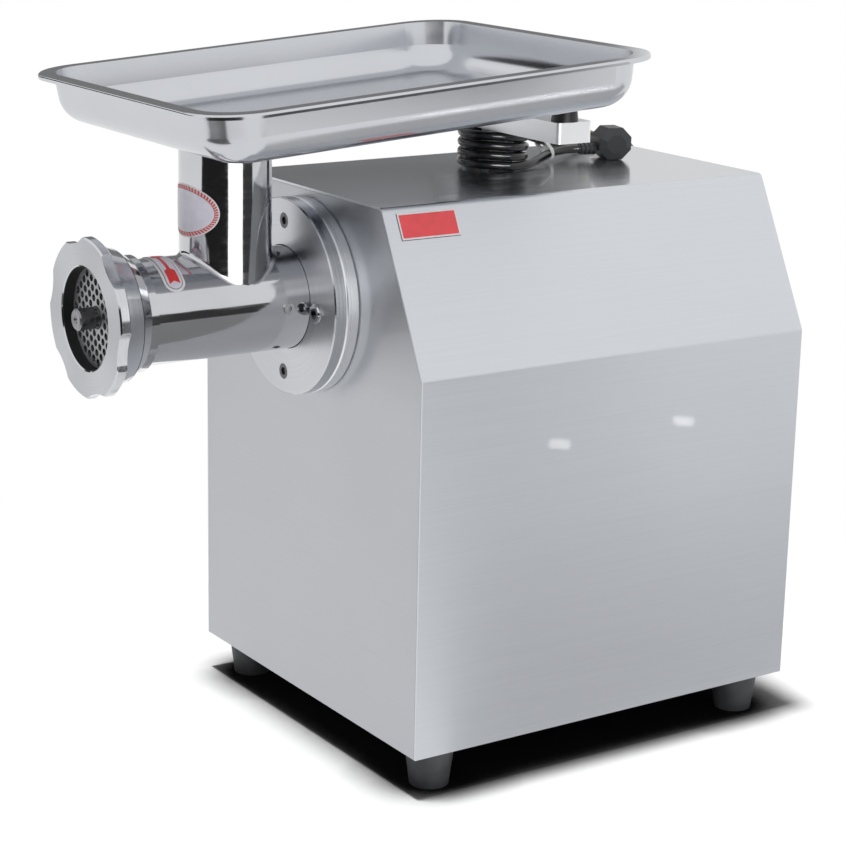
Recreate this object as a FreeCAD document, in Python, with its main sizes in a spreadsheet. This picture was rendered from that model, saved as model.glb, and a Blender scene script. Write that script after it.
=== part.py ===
# Electric meat grinder, millimetres.
# The model is drawn with y = 0 on the housing's front face, the head towards -Y, and z = 0 on the floor.
import FreeCAD
import Part
import Sketcher
import math
import os
import re
from fcgear import fcgear, involute

Vector = FreeCAD.Vector
Rotation = FreeCAD.Rotation
X_AXIS = Vector(1, 0, 0)
Y_AXIS = Vector(0, 1, 0)
Z_AXIS = Vector(0, 0, 1)

doc = FreeCAD.newDocument("meat_grinder")

# Driving dimensions
SIZES = {
    # Housing
    "housing_wide": 276.0,
    "housing_deep": 310.0,
    "shell_tall": 348.5,
    "shoulder_tall": 100.0,
    "top_wide": 175.0,
    "sheet_thick": 1.5,
    "bend_radius": 3.0,
    "panel_lip": 14.0,
    "panel_gap": 0.2,
    "base_thick": 2.0,
    "vent_long": 70.0,
    "vent_tall": 5.0,
    "vent_pitch": 13.0,
    "vent_high": 150.0,
    "rod_radius": 5.0,
    "rod_in": 16.0,
    # Feet and fasteners
    "foot_tall": 27.5,
    "foot_top_radius": 16.0,
    "foot_base_radius": 13.0,
    "foot_in_side": 21.0,
    "foot_in_front": 25.0,
    "foot_well_radius": 6.0,
    "foot_well_deep": 15.0,
    "screw_radius": 2.0,
    "screw_head_radius": 4.0,
    "screw_head_thick": 2.0,
    "screw_long": 12.0,
    "bolt_radius": 3.0,
    "bolt_head_radius": 5.0,
    "bolt_head_thick": 6.0,
    "hex_key": 2.9,
    "hex_deep": 3.0,
    "hole_fit": 0.15,
    "press_gap": 0.02,
    "run_gap": 0.05,
    "free_gap": 0.4,
    # Mounting discs
    "disc_radius": 64.5,
    "disc_bevel": 0.8,
    "front_disc_thick": 9.0,
    "rear_disc_thick": 9.0,
    "disc_bolt_circle": 50.0,
    "disc_bolt_long": 20.0,
    "spigot_deep": 6.0,
    "lock_out": 41.2,
    "lock_drop": 3.6,
    "lock_radius": 6.2,
    "lock_bevel": 0.8,
    "lock_sunk": 8.0,
    "lock_proud": 2.0,
    "lock_key": 3.6,
    "lock_key_deep": 5.0,
    # Grinding head
    "head_drop": 70.0,
    "nut_reach": 160.0,
    "barrel_radius": 33.7,
    "barrel_bore": 26.5,
    "throat_ahead": 61.0,
    "throat_radius": 29.5,
    "throat_bore": 26.0,
    "throat_tall": 107.0,
    "saddle_radius": 4.0,
    "bell_radius": 42.0,
    "bell_neck_radius": 37.0,
    "bell_long": 8.0,
    "neck_long": 5.0,
    "thread_radius": 38.5,
    "bush_radius": 20.0,
    "bush_long": 14.0,
    "bush_back": 22.0,
    "key_radius": 2.0,
    "index_radius": 3.6,
    "index_proud": 1.5,
    "index_key": 1.9,
    "index_key_deep": 2.5,
    # Ring nut
    "nut_radius": 51.0,
    "nut_flange": 7.0,
    "nut_shoulder": 47.0,
    "nut_deep": 20.0,
    "nut_open_radius": 32.3,
    "nut_lip": 8.0,
    "scallop_count": 6,
    "scallop_turn": 46.0,
    "scallop_radius": 35.0,
    "scallop_deep": 4.2,
    # Plate, knife and auger
    "plate_radius": 35.0,
    "plate_thick": 7.0,
    "plate_hole_radius": 2.25,
    "plate_hole_pitch": 6.2,
    "plate_hole_turn": 16.0,
    "plate_hub_radius": 8.4,
    "knife_thick": 11.0,
    "knife_reach": 33.0,
    "knife_hub_radius": 14.0,
    "blade_wide": 10.0,
    "drive_square": 14.0,
    "stud_radius": 7.0,
    "stud_out": 6.0,
    "stud_shank_radius": 5.0,
    "stud_shank_long": 18.0,
    "auger_core_radius": 13.0,
    "auger_flight_radius": 25.6,
    "auger_pitch": 31.0,
    "flight_thick": 4.5,
    "journal_radius": 12.0,
    "tail_square": 14.6,
    "tail_long": 17.0,
    # Tray
    "tray_long": 332.0,
    "tray_wide": 264.0,
    "tray_deep": 33.5,
    "tray_corner": 36.0,
    "tray_wall_corner": 30.0,
    "tray_rim": 9.0,
    "tray_lip": 3.0,
    "tray_roll": 1.4,
    "tray_bend": 20.0,
    "tray_draft": 4.0,
    "tray_thick": 1.0,
    "tray_pitch": 4.1,
    "tray_ahead": 77.5,
    "tray_seat": 2.9,
    "collar_radius": 25.4,
    "collar_thick": 1.2,
    "collar_drop": 22.0,
    # Tray rest
    "bar_long": 140.0,
    "bar_wide": 28.0,
    "bar_tall": 14.0,
    "bar_corner": 3.0,
    "bar_back": 161.5,
    "post_tall": 27.5,
    "post_side": -18.0,
    "post_thick": 10.0,
    "post_wide": 20.0,
    "bumper_in": 8.0,
    "bumper_back": 158.5,
    "bumper_radius": 9.0,
    "bumper_top_radius": 7.2,
    # Gears
    "first_module": 1.5,
    "motor_teeth": 16,
    "lay_gear_teeth": 76,
    "second_module": 2.0,
    "lay_pinion_teeth": 15,
    "output_teeth": 56,
    "pressure_angle": 25.0,
    "tooth_thinning": 0.05,
    "first_face": 12.0,
    "second_face": 20.0,
    "gear_hub": 20.0,
    "mesh_back": 34.0,
    "stage_step": 4.0,
    # Gearbox
    "case_radius": 66.0,
    "case_wall": 5.5,
    "case_deep": 73.5,
    "case_front_wall": 8.0,
    "cover_thick": 12.0,
    "sleeve_radius": 16.0,
    "sleeve_out": 16.0,
    "sleeve_square": 15.2,
    "seal_radius": 23.0,
    "seal_wide": 6.5,
    "big_shaft_radius": 12.5,
    "big_bearing_radius": 26.0,
    "big_bearing_wide": 15.0,
    "boss_wall": 6.0,
    "shaft_radius": 10.0,
    "bearing_radius": 21.0,
    "bearing_wide": 11.0,
    "gearbox_foot_wide": 70.0,
    "gearbox_foot_thick": 8.0,
    # Motor
    "motor_radius": 75.0,
    "motor_shell": 3.0,
    "motor_long": 118.0,
    "bell_thick": 12.0,
    "motor_shaft_radius": 8.0,
    "motor_bearing_radius": 18.0,
    "motor_bearing_wide": 10.0,
    "stator_bore": 45.0,
    "stator_long": 76.0,
    "air_gap": 0.6,
    "winding_radius": 59.0,
    "winding_thick": 9.0,
    "fan_radius": 58.0,
    "fan_wide": 14.0,
    "fan_blades": 8,
    "cradle_thick": 5.0,
    "cradle_wide": 90.0,
    # Electrics
    "capacitor_radius": 20.0,
    "capacitor_long": 75.0,
    "capacitor_in": 43.0,
    "capacitor_back": 150.0,
    "clip_thick": 2.0,
    "clip_wide": 15.0,
    "terminal_long": 44.0,
    "terminal_tall": 18.0,
    "terminal_wide": 20.0,
    "switch_back": 70.0,
    "switch_long": 32.0,
    "switch_wide": 24.0,
    "switch_deep": 24.0,
    "bezel_lip": 2.5,
    "bezel_thick": 2.0,
    "rocker_tilt": 8.0,
    "rocker_pin_radius": 1.5,
    # Mains cord and plug
    "cord_radius": 3.0,
    "coil_radius": 21.8,
    "coil_pitch": 6.6,
    "coil_side": -18.4,
    "coil_back": 158.6,
    "gland_in": 40.0,
    "gland_drop": 74.0,
    "gland_radius": 7.5,
    "gland_out": 22.0,
    "plug_long": 24.5,
    "plug_tall": 22.4,
    "plug_thick": 21.0,
    "plug_corner": 6.8,
    "plug_bevel": 2.5,
    "relief_long": 13.0,
    "relief_radius": 4.2,
    "pin_long": 16.0,
    "pin_wide": 6.4,
    "pin_thick": 1.7,
    "tie_back": 206.0,
    "tie_wide": 3.0,
    "tie_thick": 1.2,
}

# Places worked out from the driving dimensions
LEVELS = {
    "half_wide": "housing_wide / 2",
    "half_top": "top_wide / 2",
    "top_high": "foot_tall + shell_tall",
    "fold_high": "foot_tall + shell_tall - shoulder_tall",
    "fold_shift": "tan(atan((housing_wide - top_wide) / 2 / shoulder_tall) / 2)",
    "ridge_shift": "tan((90 deg - atan((housing_wide - top_wide) / 2 / shoulder_tall)) / 2)",
    "axis_high": "foot_tall + shell_tall - head_drop",
    "lay_drop": "second_module * (lay_pinion_teeth + output_teeth) / 2",
    "motor_drop": "first_module * (motor_teeth + lay_gear_teeth) / 2",
    "lay_high": "axis_high - lay_drop",
    "motor_high": "lay_high - motor_drop",
    "disc_front": "0 - front_disc_thick - rear_disc_thick",
    "plate_front": "nut_lip - nut_reach",
    "plate_back": "plate_front + plate_thick",
    "knife_back": "plate_back + knife_thick",
    "nut_back": "nut_deep - nut_reach",
    "bell_back": "nut_back + bell_long",
    "neck_back": "bell_back + neck_long",
    "bush_front": "0 - bush_back - bush_long",
    "throat_top": "axis_high + throat_tall",
    "cover_front": "sheet_thick + case_deep",
    "motor_front": "cover_front + cover_thick",
    "shell_front": "motor_front + bell_thick",
    "shell_back": "shell_front + motor_long",
    "stator_front": "shell_front + (motor_long - stator_long) / 2",
    "first_mesh_back": "mesh_back + second_face + stage_step",
    "base_top": "foot_tall + base_thick",
    "bar_high": "top_high + post_tall",
    "bumper_out": "bar_long / 2 - bumper_in",
    "capacitor_side": "half_wide - capacitor_in",
    "gland_side": "gland_in - half_wide",
    "gland_high": "top_high - gland_drop",
    "frame_shift": "(nut_reach + stud_out - housing_deep - gland_out) / 2",
}

sheet = doc.addObject("Spreadsheet::Sheet", "Sizes")
for row, (alias, number) in enumerate(SIZES.items(), start=1):
    sheet.set(f"A{row}", alias)
    sheet.set(f"B{row}", str(number))
    sheet.setAlias(f"B{row}", alias)
doc.recompute()

levels = doc.addObject("App::VarSet", "Levels")
WORD = re.compile(r"[a-z][a-z_]+")


def expression(text):
    """Name the sheet or the level set in front of every size in a formula."""
    def owner(match):
        word = match.group()
        if word in SIZES:
            return "Sizes." + word
        if word in LEVELS:
            return "Levels." + word
        return word
    return WORD.sub(owner, str(text))


for level, formula in LEVELS.items():
    levels.addProperty("App::PropertyFloat", level)
    levels.setExpression(level, expression(formula))
    doc.recompute()


def size(name):
    """Read one size or level as a number."""
    if name in LEVELS:
        return getattr(levels, name)
    return float(sheet.get(name))


def bind(thing, prop, text):
    """Drive one property by a formula of the sizes."""
    thing.setExpression(prop, expression(text))


PLACED = {}
TURN = {
    "X": Rotation(Y_AXIS, 90),
    "Y": Rotation(X_AXIS, -90),
    "Z": Rotation(),
}


def place(thing, x="0", y="0", z="0"):
    """Put an object at a formula-driven point."""
    for axis, text in zip("xyz", (x, y, z)):
        bind(thing, "Placement.Base." + axis, text)
    PLACED[thing.Name] = y
    return thing


def cylinder(name, radius, length, x="0", y="0", z="0", along="Y"):
    """A round bar that starts at a point and runs along one axis."""
    bar = doc.addObject("Part::Cylinder", name)
    bar.Placement.Rotation = TURN[along]
    bind(bar, "Radius", radius)
    bind(bar, "Height", length)
    return place(bar, x, y, z)


def hexagon(name, radius, length, x="0", y="0", z="0", along="Y"):
    """A six-sided bar that starts at a point and runs along one axis."""
    bar = doc.addObject("Part::Prism", name)
    bar.Polygon = 6
    bar.Placement.Rotation = TURN[along]
    bind(bar, "Circumradius", radius)
    bind(bar, "Height", length)
    return place(bar, x, y, z)


def cone(name, radius, far_radius, length, x="0", y="0", z="0", along="Y"):
    """A tapered bar that starts at a point and runs along one axis."""
    bar = doc.addObject("Part::Cone", name)
    bar.Placement.Rotation = TURN[along]
    bind(bar, "Radius1", radius)
    bind(bar, "Radius2", far_radius)
    bind(bar, "Height", length)
    return place(bar, x, y, z)


def box(name, wide, deep, tall, x="0", y="0", z="0"):
    """A block centred on x, that starts at y and z."""
    block = doc.addObject("Part::Box", name)
    bind(block, "Length", wide)
    bind(block, "Width", deep)
    bind(block, "Height", tall)
    return place(block, f"({x}) - ({wide}) / 2", y, z)


def joined(name, things):
    """Fuse objects into one solid."""
    whole = doc.addObject("Part::MultiFuse", name)
    whole.Shapes = things
    return whole


def grouped(name, things):
    """Hold separate solids together as one group."""
    group = doc.addObject("Part::Compound", name)
    group.Links = things
    return group


def cut(name, base, tools):
    """Take one or more tools away from a base."""
    rest = doc.addObject("Part::Cut", name)
    rest.Base = base
    rest.Tool = tools[0] if len(tools) == 1 else joined(name + "_tools", tools)
    return rest


def origin_plane(body, role):
    """Find one of a body's own origin planes."""
    return next(plane for plane in body.Origin.OriginFeatures if plane.Role == role)


def sketch_on(body, role, name):
    """Start a sketch on one of a body's origin planes."""
    sketch = body.newObject("Sketcher::SketchObject", name)
    sketch.AttachmentSupport = [(origin_plane(body, role), "")]
    sketch.MapMode = "FlatFace"
    return sketch


def outline(sketch, points):
    """Draw a closed outline whose corners are formula-driven."""
    first = sketch.GeometryCount
    count = len(points)
    spots = [Vector(math.cos(2 * math.pi * i / count), math.sin(2 * math.pi * i / count), 0)
             for i in range(count)]
    for i in range(count):
        sketch.addGeometry(Part.LineSegment(spots[i], spots[(i + 1) % count]))
    for i in range(count):
        sketch.addConstraint(Sketcher.Constraint("Coincident", first + i, 2, first + (i + 1) % count, 1))
    for i, corner in enumerate(points):
        for kind, text, axis in zip(("DistanceX", "DistanceY"), corner, (-2, -1)):
            if text == "0":
                sketch.addConstraint(Sketcher.Constraint("PointOnObject", first + i, 1, axis))
                continue
            index = sketch.addConstraint(Sketcher.Constraint(kind, -1, 1, first + i, 1, 1.0))
            bind(sketch, f"Constraints[{index}]", text)
    return sketch


def padded(name, role, points, length, back=True):
    """A body made by padding one outline."""
    body = doc.addObject("PartDesign::Body", name)
    sketch = outline(sketch_on(body, role, name + "_outline"), points)
    pad = body.newObject("PartDesign::Pad", name + "_pad")
    pad.Profile = sketch
    pad.Reversed = back
    bind(pad, "Length", length)
    return body


def revolved(name, points, upright=False):
    """A body turned about Y, or about Z when upright; corners are radius and place along the axis."""
    body = doc.addObject("PartDesign::Body", name)
    role = "XZ_Plane" if upright else "XY_Plane"
    sketch = outline(sketch_on(body, role, name + "_outline"), points)
    turn = body.newObject("PartDesign::Revolution", name + "_turn")
    turn.Profile = sketch
    turn.ReferenceAxis = (sketch, ["V_Axis"])
    turn.Angle = 360
    return body


def rounded(body, feature_name, radius, wanted, kind="PartDesign::Fillet"):
    """Round or bevel the edges of a body that pass a test."""
    doc.recompute()
    base = body.Tip
    names = [f"Edge{i}" for i, edge in enumerate(base.Shape.Edges, start=1) if wanted(edge)]
    feature = body.newObject(kind, feature_name)
    feature.Base = (base, names)
    bind(feature, "Radius" if kind == "PartDesign::Fillet" else "Size", radius)
    return body


NODES = []


def node(thing, label):
    """Keep an object as a named sub-part, moved into the part's own frame."""
    thing.Label = label
    bind(thing, "Placement.Base.y", f"({PLACED.get(thing.Name, '0')}) + frame_shift")
    NODES.append(thing)
    return thing


def shaped(label, shape):
    """Keep a shape made with Part functions as a named sub-part."""
    feature = doc.addObject("Part::Feature", label)
    feature.Shape = shape
    PLACED[feature.Name] = str(feature.Placement.Base.y)
    return node(feature, label)


def screw(name, x, y, z, along, head, thick, shank, long, forward):
    """A socket-head screw: the head seats at the point and the shank runs along the axis."""
    sign = "" if forward else "0 - "
    places = {"x": x, "y": y, "z": z}
    axis = along.lower()
    seat = places[axis]
    head_place = dict(places, **{axis: f"{seat} - {thick}" if forward else seat})
    shank_place = dict(places, **{axis: seat if forward else f"{seat} - {long}"})
    key_place = dict(places, **{axis: f"{seat} - {thick}" if forward else f"{seat} + {thick} - hex_deep / 2"})
    whole = joined(name + "_blank", [
        cylinder(name + "_head", head, thick, along=along, **head_place),
        cylinder(name + "_shank", shank, long, along=along, **shank_place),
    ])
    key = hexagon(name + "_key", f"{head} * hex_key / bolt_head_radius", "hex_deep / 2", along=along,
                  **key_place)
    return cut(name, whole, [key])


def shell_outline(inset, bottom):
    """The housing's end outline, moved in by a formula."""
    side = f"(half_wide - ({inset}))"
    fold = f"(fold_high - ({inset}) * fold_shift)"
    ridge = f"(half_top - ({inset}) * ridge_shift)"
    roof = f"(top_high - ({inset}))"
    right = [(side, bottom), (side, fold), (ridge, roof)]
    left = [(f"0 - {across}", up) for across, up in reversed(right)]
    return right + left


def mirrored_sides(text):
    """The same distance on the right and on the left."""
    return [("right", text), ("left", f"0 - ({text})")]


ROD_PLACES = [
    (f"{level}_{side}", across, high)
    for level, out, high in (
        ("low", "half_wide - rod_in", "base_top + rod_in"),
        ("high", "half_top - rod_in / 2", "top_high - rod_in * 1.5"),
    )
    for side, across in mirrored_sides(out)
]
FOOT_PLACES = [
    (f"{end}_{side}", across, along)
    for end, along in (("front", "foot_in_front"), ("rear", "housing_deep - foot_in_front"))
    for side, across in mirrored_sides("half_wide - foot_in_side")
]
DISC_BOLTS = [("top", "axis_high + disc_bolt_circle"), ("bottom", "axis_high - disc_bolt_circle")]
SLOPE = "atan((housing_wide - top_wide) / 2 / shoulder_tall)"


def on_shoulder(thing):
    """Place a switch piece, drawn flat at the origin, on the left shoulder."""
    place(thing, "0 - (half_wide + half_top) / 2", "switch_back", "(fold_high + top_high) / 2")
    thing.Placement.Rotation = Rotation(Y_AXIS, -60)
    bind(thing, "Placement.Rotation.Angle", f"90 deg - {SLOPE}")
    bind(thing, "Placement.Rotation.Axis.y", "0 - 1")
    return thing


# Housing
def wrap_cover():
    """The folded sheet over both sides, both shoulders and the top."""
    outer = shell_outline("0", "foot_tall")
    inner = shell_outline("sheet_thick", "foot_tall")
    body = padded("wrap_blank", "XZ_Plane", outer + inner[::-1], "housing_deep")

    def fold_at(across, up):
        """Test for the long edges of the two folds of one skin."""
        def wanted(edge):
            spot = edge.CenterOfMass
            lengthwise = abs(edge.tangentAt(edge.FirstParameter).y) > 0.99
            at_corner = any(
                abs(abs(spot.x) - a) < 0.01 and abs(spot.z - u) < 0.01 for a, u in zip(across, up))
            return lengthwise and at_corner
        return wanted

    sheet_thick = size("sheet_thick")
    fold_in = sheet_thick * size("fold_shift")
    ridge_in = sheet_thick * size("ridge_shift")
    outer_test = fold_at((size("half_wide"), size("half_top")), (size("fold_high"), size("top_high")))
    inner_test = fold_at(
        (size("half_wide") - sheet_thick, size("half_top") - ridge_in),
        (size("fold_high") - fold_in, size("top_high") - sheet_thick))
    rounded(body, "wrap_outer_bends", "bend_radius + sheet_thick", outer_test)
    rounded(body, "wrap_inner_bends", "bend_radius", inner_test)
    half_long = "(switch_long / 2 + hole_fit)"
    half_side = "(switch_wide / 2 + hole_fit)"
    window = on_shoulder(padded("wrap_window", "XY_Plane", [
        (half_long, half_side),
        (f"0 - {half_long}", half_side),
        (f"0 - {half_long}", f"0 - {half_side}"),
        (half_long, f"0 - {half_side}"),
    ], "switch_deep"))
    window.Tip.Midplane = True
    return node(cut("wrap_cut", body, [window]), "wrap_cover")


def panel(name, face, inward):
    """A flat end panel with lips along its sides and top."""
    body = padded(name + "_blank", "XZ_Plane", shell_outline("sheet_thick + panel_gap", "foot_tall"),
                  "panel_lip", back=inward)
    hollow = padded(name + "_hollow", "XZ_Plane",
                    shell_outline("2 * sheet_thick + panel_gap", "foot_tall - 1"), "panel_lip", back=inward)
    bottom = size("foot_tall")

    def folded(edge):
        """Test for the lengthwise edges above the foot of the panel."""
        lengthwise = abs(edge.tangentAt(edge.FirstParameter).y) > 0.99
        return lengthwise and edge.CenterOfMass.z > bottom + 1

    rounded(body, name + "_bends", "bend_radius", folded)
    place(body, y=face)
    place(hollow, y=f"{face} + sheet_thick" if inward else f"{face} - sheet_thick")
    return cut(name + "_pan", body, [hollow])


def front_panel():
    """The front panel, with the drive opening and the disc bolt holes."""
    holes = [cylinder("front_drive_hole", "sleeve_radius + 12", "10", y="0 - 5", z="axis_high")]
    for end, high in DISC_BOLTS:
        holes.append(cylinder(f"front_bolt_hole_{end}", "bolt_radius + hole_fit", "10", y="0 - 5", z=high))
    return node(cut("front_cut", panel("front", "0", True), holes), "front_panel")


def rear_panel():
    """The rear panel, with vent slots, screw holes and the cord gland hole."""
    holes = [cylinder("rear_gland_hole", "gland_radius + hole_fit", "10", "gland_side", "housing_deep - 5",
                      "gland_high")]
    for name, across, high in ROD_PLACES:
        holes.append(cylinder(f"rear_hole_{name}", "screw_radius + hole_fit", "10", across,
                              "housing_deep - 5", high))
    for row in range(7):
        for side, across in mirrored_sides("vent_long / 2 + vent_pitch"):
            holes.append(box(f"rear_vent_{side}_{row}", "vent_long", "10", "vent_tall", across,
                             "housing_deep - 5", f"vent_high + {row} * vent_pitch"))
    return node(cut("rear_cut", panel("rear", "housing_deep", False), holes), "rear_panel")


def base_plate():
    """The floor of the housing, with holes for the foot screws and vents."""
    inset = "(2 * sheet_thick + 2 * panel_gap)"
    sheet_deep = f"housing_deep - 2 * {inset}"
    blank = box("base_blank", f"housing_wide - 2 * {inset}", sheet_deep, "base_thick", y=inset, z="foot_tall")
    holes = [cylinder(f"base_hole_{name}", "screw_radius + hole_fit", "10", across, along, "foot_tall - 4",
                      "Z")
             for name, across, along in FOOT_PLACES]
    for row in range(4):
        holes.append(box(f"base_vent_{row}", "vent_long", "vent_tall", "10", "0",
                         f"housing_deep - foot_in_front - 10 - {row} * vent_pitch", "foot_tall - 4"))
    return node(cut("base_cut", blank, holes), "base_plate")


def tie_rods():
    """Four rods that hold the end panels apart, with the rear panel's screws."""
    rods = []
    screws = []
    for name, across, high in ROD_PLACES:
        rod = cylinder(f"rod_{name}", "rod_radius", "housing_deep - 2 * sheet_thick", across, "sheet_thick",
                       high)
        bore = cylinder(f"rod_bore_{name}", "screw_radius + hole_fit", "screw_long + 1", across,
                        "housing_deep - sheet_thick - screw_long", high)
        rods.append(cut(f"rod_cut_{name}", rod, [bore]))
        screws.append(screw(f"rear_screw_{name}", across, "housing_deep", high, "Y", "screw_head_radius",
                            "screw_head_thick", "screw_radius", "screw_long", False))
    node(grouped("rod_group", rods), "tie_rods")
    node(grouped("rear_screw_group", screws), "rear_panel_screws")


def feet():
    """Four rubber feet, each held by a screw up through its well."""
    screws = []
    for name, across, along in FOOT_PLACES:
        seat = "foot_well_deep"
        foot = revolved(f"foot_{name}_turn", [
            ("foot_well_radius", "0"),
            ("foot_base_radius", "0"),
            ("foot_top_radius", "foot_tall - 4"),
            ("foot_top_radius", "foot_tall"),
            ("screw_radius + hole_fit", "foot_tall"),
            ("screw_radius + hole_fit", seat),
            ("foot_well_radius", seat),
        ], upright=True)
        place(foot, across, along)
        node(foot, f"foot_{name}")
        screws.append(screw(f"foot_screw_{name}", across, along, seat, "Z", "screw_head_radius",
                            "screw_head_thick", "screw_radius", "foot_tall - foot_well_deep + 6", True))
    node(grouped("foot_screw_group", screws), "foot_screws")


# Tray rest on the top
def tray_plane_high(along):
    """Height of the tray's underside at a place along Y."""
    tip = size("throat_top") + size("tray_seat")
    return tip + (along + size("throat_ahead")) * math.tan(math.radians(size("tray_pitch")))


def tray_rest():
    """The bar that carries the tray, on a post welded to the top."""
    bar = box("bar_block", "bar_long", "bar_wide", "bar_tall", y="bar_back - bar_wide / 2", z="bar_high")
    doc.recompute()
    upright = [i for i, edge in enumerate(bar.Shape.Edges, start=1)
               if abs(edge.tangentAt(edge.FirstParameter).z) > 0.99]
    bend = doc.addObject("Part::Fillet", "bar_bend")
    bend.Base = bar
    bend.Edges = [(i, size("bar_corner"), size("bar_corner")) for i in upright]
    holes = [cylinder(f"bar_hole_{side}", "screw_radius + hole_fit", "bar_tall + 2", across,
                      "bumper_back", "bar_high - 1", "Z") for side, across in mirrored_sides("bumper_out")]
    node(cut("bar_cut", bend, holes), "tray_rest_bar")
    post = box("post_block", "post_thick", "post_wide", "post_tall", "post_side", "bar_back - post_wide / 2",
               "top_high")
    node(post, "tray_rest_post")


def bumpers():
    """Two rubber bumpers whose tops follow the tilted tray floor."""
    bar_top = size("bar_high") + size("bar_tall")
    back = size("bumper_back")
    top = tray_plane_high(back) - 0.3
    tilt = Rotation(X_AXIS, size("tray_pitch"))
    for side, sign in (("right", 1), ("left", -1)):
        across = sign * size("bumper_out")
        radius = size("bumper_radius")
        stud = Part.makeCylinder(size("screw_radius"), size("bar_tall"),
                                 Vector(across, back, size("bar_high")))
        rubber = Part.makeCone(radius, size("bumper_top_radius"), top - bar_top + 5,
                               Vector(across, back, bar_top))
        above = Part.makeBox(4 * radius, 4 * radius, 20, Vector(-2 * radius, -2 * radius, 0))
        above.Placement = FreeCAD.Placement(Vector(across, back, top), tilt)
        shaped(f"bumper_{side}", rubber.cut(above).fuse(stud).removeSplitter())


# Mounting discs
def disc_blank(name, front, back):
    """A plain disc between two places along Y, with bevelled edges."""
    disc = revolved(name, [
        ("0", front),
        ("disc_radius - disc_bevel", front),
        ("disc_radius", f"{front} + disc_bevel"),
        ("disc_radius", f"{back} - disc_bevel"),
        ("disc_radius - disc_bevel", back),
        ("0", back),
    ])
    return place(disc, z="axis_high")


def lock_screw():
    """The lock screw in the front disc: a bevelled head with a hexagon socket."""
    blank = revolved("lock_turn", [
        ("0", "disc_front - lock_proud"),
        ("lock_radius - lock_bevel", "disc_front - lock_proud"),
        ("lock_radius", "disc_front - lock_proud + lock_bevel"),
        ("lock_radius", "disc_front + lock_sunk"),
        ("0", "disc_front + lock_sunk"),
    ])
    place(blank, "lock_out", z="axis_high - lock_drop")
    key = hexagon("lock_key_hole", "lock_key", "lock_key_deep + 1", "lock_out", "disc_front - lock_proud - 1",
                  "axis_high - lock_drop", "Y")
    return node(cut("lock_cut", blank, [key]), "lock_screw")


def discs():
    """Two stacked discs that join the head to the housing, and their bolts."""
    bolt_hole = "bolt_radius + hole_fit"
    spigot = "barrel_radius + free_gap"
    rear = disc_blank("rear_disc_blank", "0 - rear_disc_thick", "0")
    rear_holes = [
        cylinder("rear_disc_bore", "sleeve_radius + 2", "60", y="0 - 30", z="axis_high"),
        cylinder("rear_disc_recess", spigot, "spigot_deep + 10", y="0 - rear_disc_thick - 10", z="axis_high"),
    ]
    front = disc_blank("front_disc_blank", "disc_front", "0 - rear_disc_thick")
    front_holes = [
        cylinder("front_disc_bore", spigot, "60", y="0 - 40", z="axis_high"),
        cylinder("front_lock_hole", "lock_radius + hole_fit", "front_disc_thick + 2", "lock_out",
                 "disc_front - 1", "axis_high - lock_drop"),
    ]
    bolts = []
    for end, high in DISC_BOLTS:
        rear_holes.append(cylinder(f"rear_disc_hole_{end}", bolt_hole, "60", y="0 - 30", z=high))
        front_holes.append(cylinder(f"front_disc_hole_{end}", bolt_hole, "60", y="0 - 40", z=high))
        front_holes.append(cylinder(f"front_disc_well_{end}", "bolt_head_radius + hole_fit",
                                    "bolt_head_thick",
                                    y="disc_front", z=high))
        bolts.append(screw(f"disc_bolt_{end}", "0", "disc_front + bolt_head_thick", high, "Y",
                           "bolt_head_radius", "bolt_head_thick", "bolt_radius", "disc_bolt_long", True))
    node(cut("rear_disc_cut", rear, rear_holes), "rear_disc")
    node(cut("front_disc_cut", front, front_holes), "front_disc")
    node(grouped("disc_bolt_group", bolts), "disc_bolts")


# Grinding head
def head_body():
    """The head casting: barrel, bell with its thread, and upright throat."""
    barrel = revolved("barrel_turn", [
        ("0", "plate_front + free_gap"),
        ("thread_radius", "plate_front + free_gap"),
        ("thread_radius", "nut_back + free_gap"),
        ("bell_radius", "nut_back + free_gap"),
        ("bell_neck_radius", "bell_back"),
        ("bell_neck_radius", "neck_back"),
        ("barrel_radius", "neck_back + 1"),
        ("barrel_radius", "0 - rear_disc_thick + spigot_deep - free_gap"),
        ("0", "0 - rear_disc_thick + spigot_deep - free_gap"),
    ])
    place(barrel, z="axis_high")
    throat = cylinder("throat_tube", "throat_radius", "throat_tall", "0", "0 - throat_ahead", "axis_high",
                      "Z")
    whole = joined("head_blank", [barrel, throat])
    doc.recompute()
    seams = [i for i, edge in enumerate(whole.Shape.Edges, start=1)
             if edge.Curve.TypeId not in ("Part::GeomCircle", "Part::GeomLine")]
    saddle = doc.addObject("Part::Fillet", "head_saddle")
    saddle.Base = whole
    saddle.Edges = [(i, size("saddle_radius"), size("saddle_radius")) for i in seams]
    seat_front = "plate_front - 5"
    tools = [
        cylinder("head_plate_seat", "plate_radius + hole_fit", f"plate_back - ({seat_front})", y=seat_front,
                 z="axis_high"),
        cylinder("head_knife_room", "plate_radius", f"knife_back - ({seat_front})", y=seat_front,
                 z="axis_high"),
        cylinder("head_bore", "barrel_bore", "bush_front - plate_front", y="plate_front", z="axis_high"),
        cylinder("head_bush_seat", "bush_radius + press_gap", "60", y="bush_front - 1", z="axis_high"),
        cylinder("head_spigot_room", "barrel_radius - 6", "60", y="0 - bush_back", z="axis_high"),
        cylinder("head_throat_bore", "throat_bore", "throat_tall + 10", "0", "0 - throat_ahead",
                 "axis_high", "Z"),
        cylinder("head_key_slot", "key_radius + press_gap", "4", "0", "plate_front + plate_thick / 2",
                 "axis_high - plate_radius - 2.5", "Z"),
        cylinder("head_index_hole", "index_radius + press_gap", "barrel_radius", "barrel_radius - 5",
                 "disc_front - 16", "axis_high", "X"),
    ]
    return node(cut("head_cut", saddle, tools), "head_body")


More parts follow.
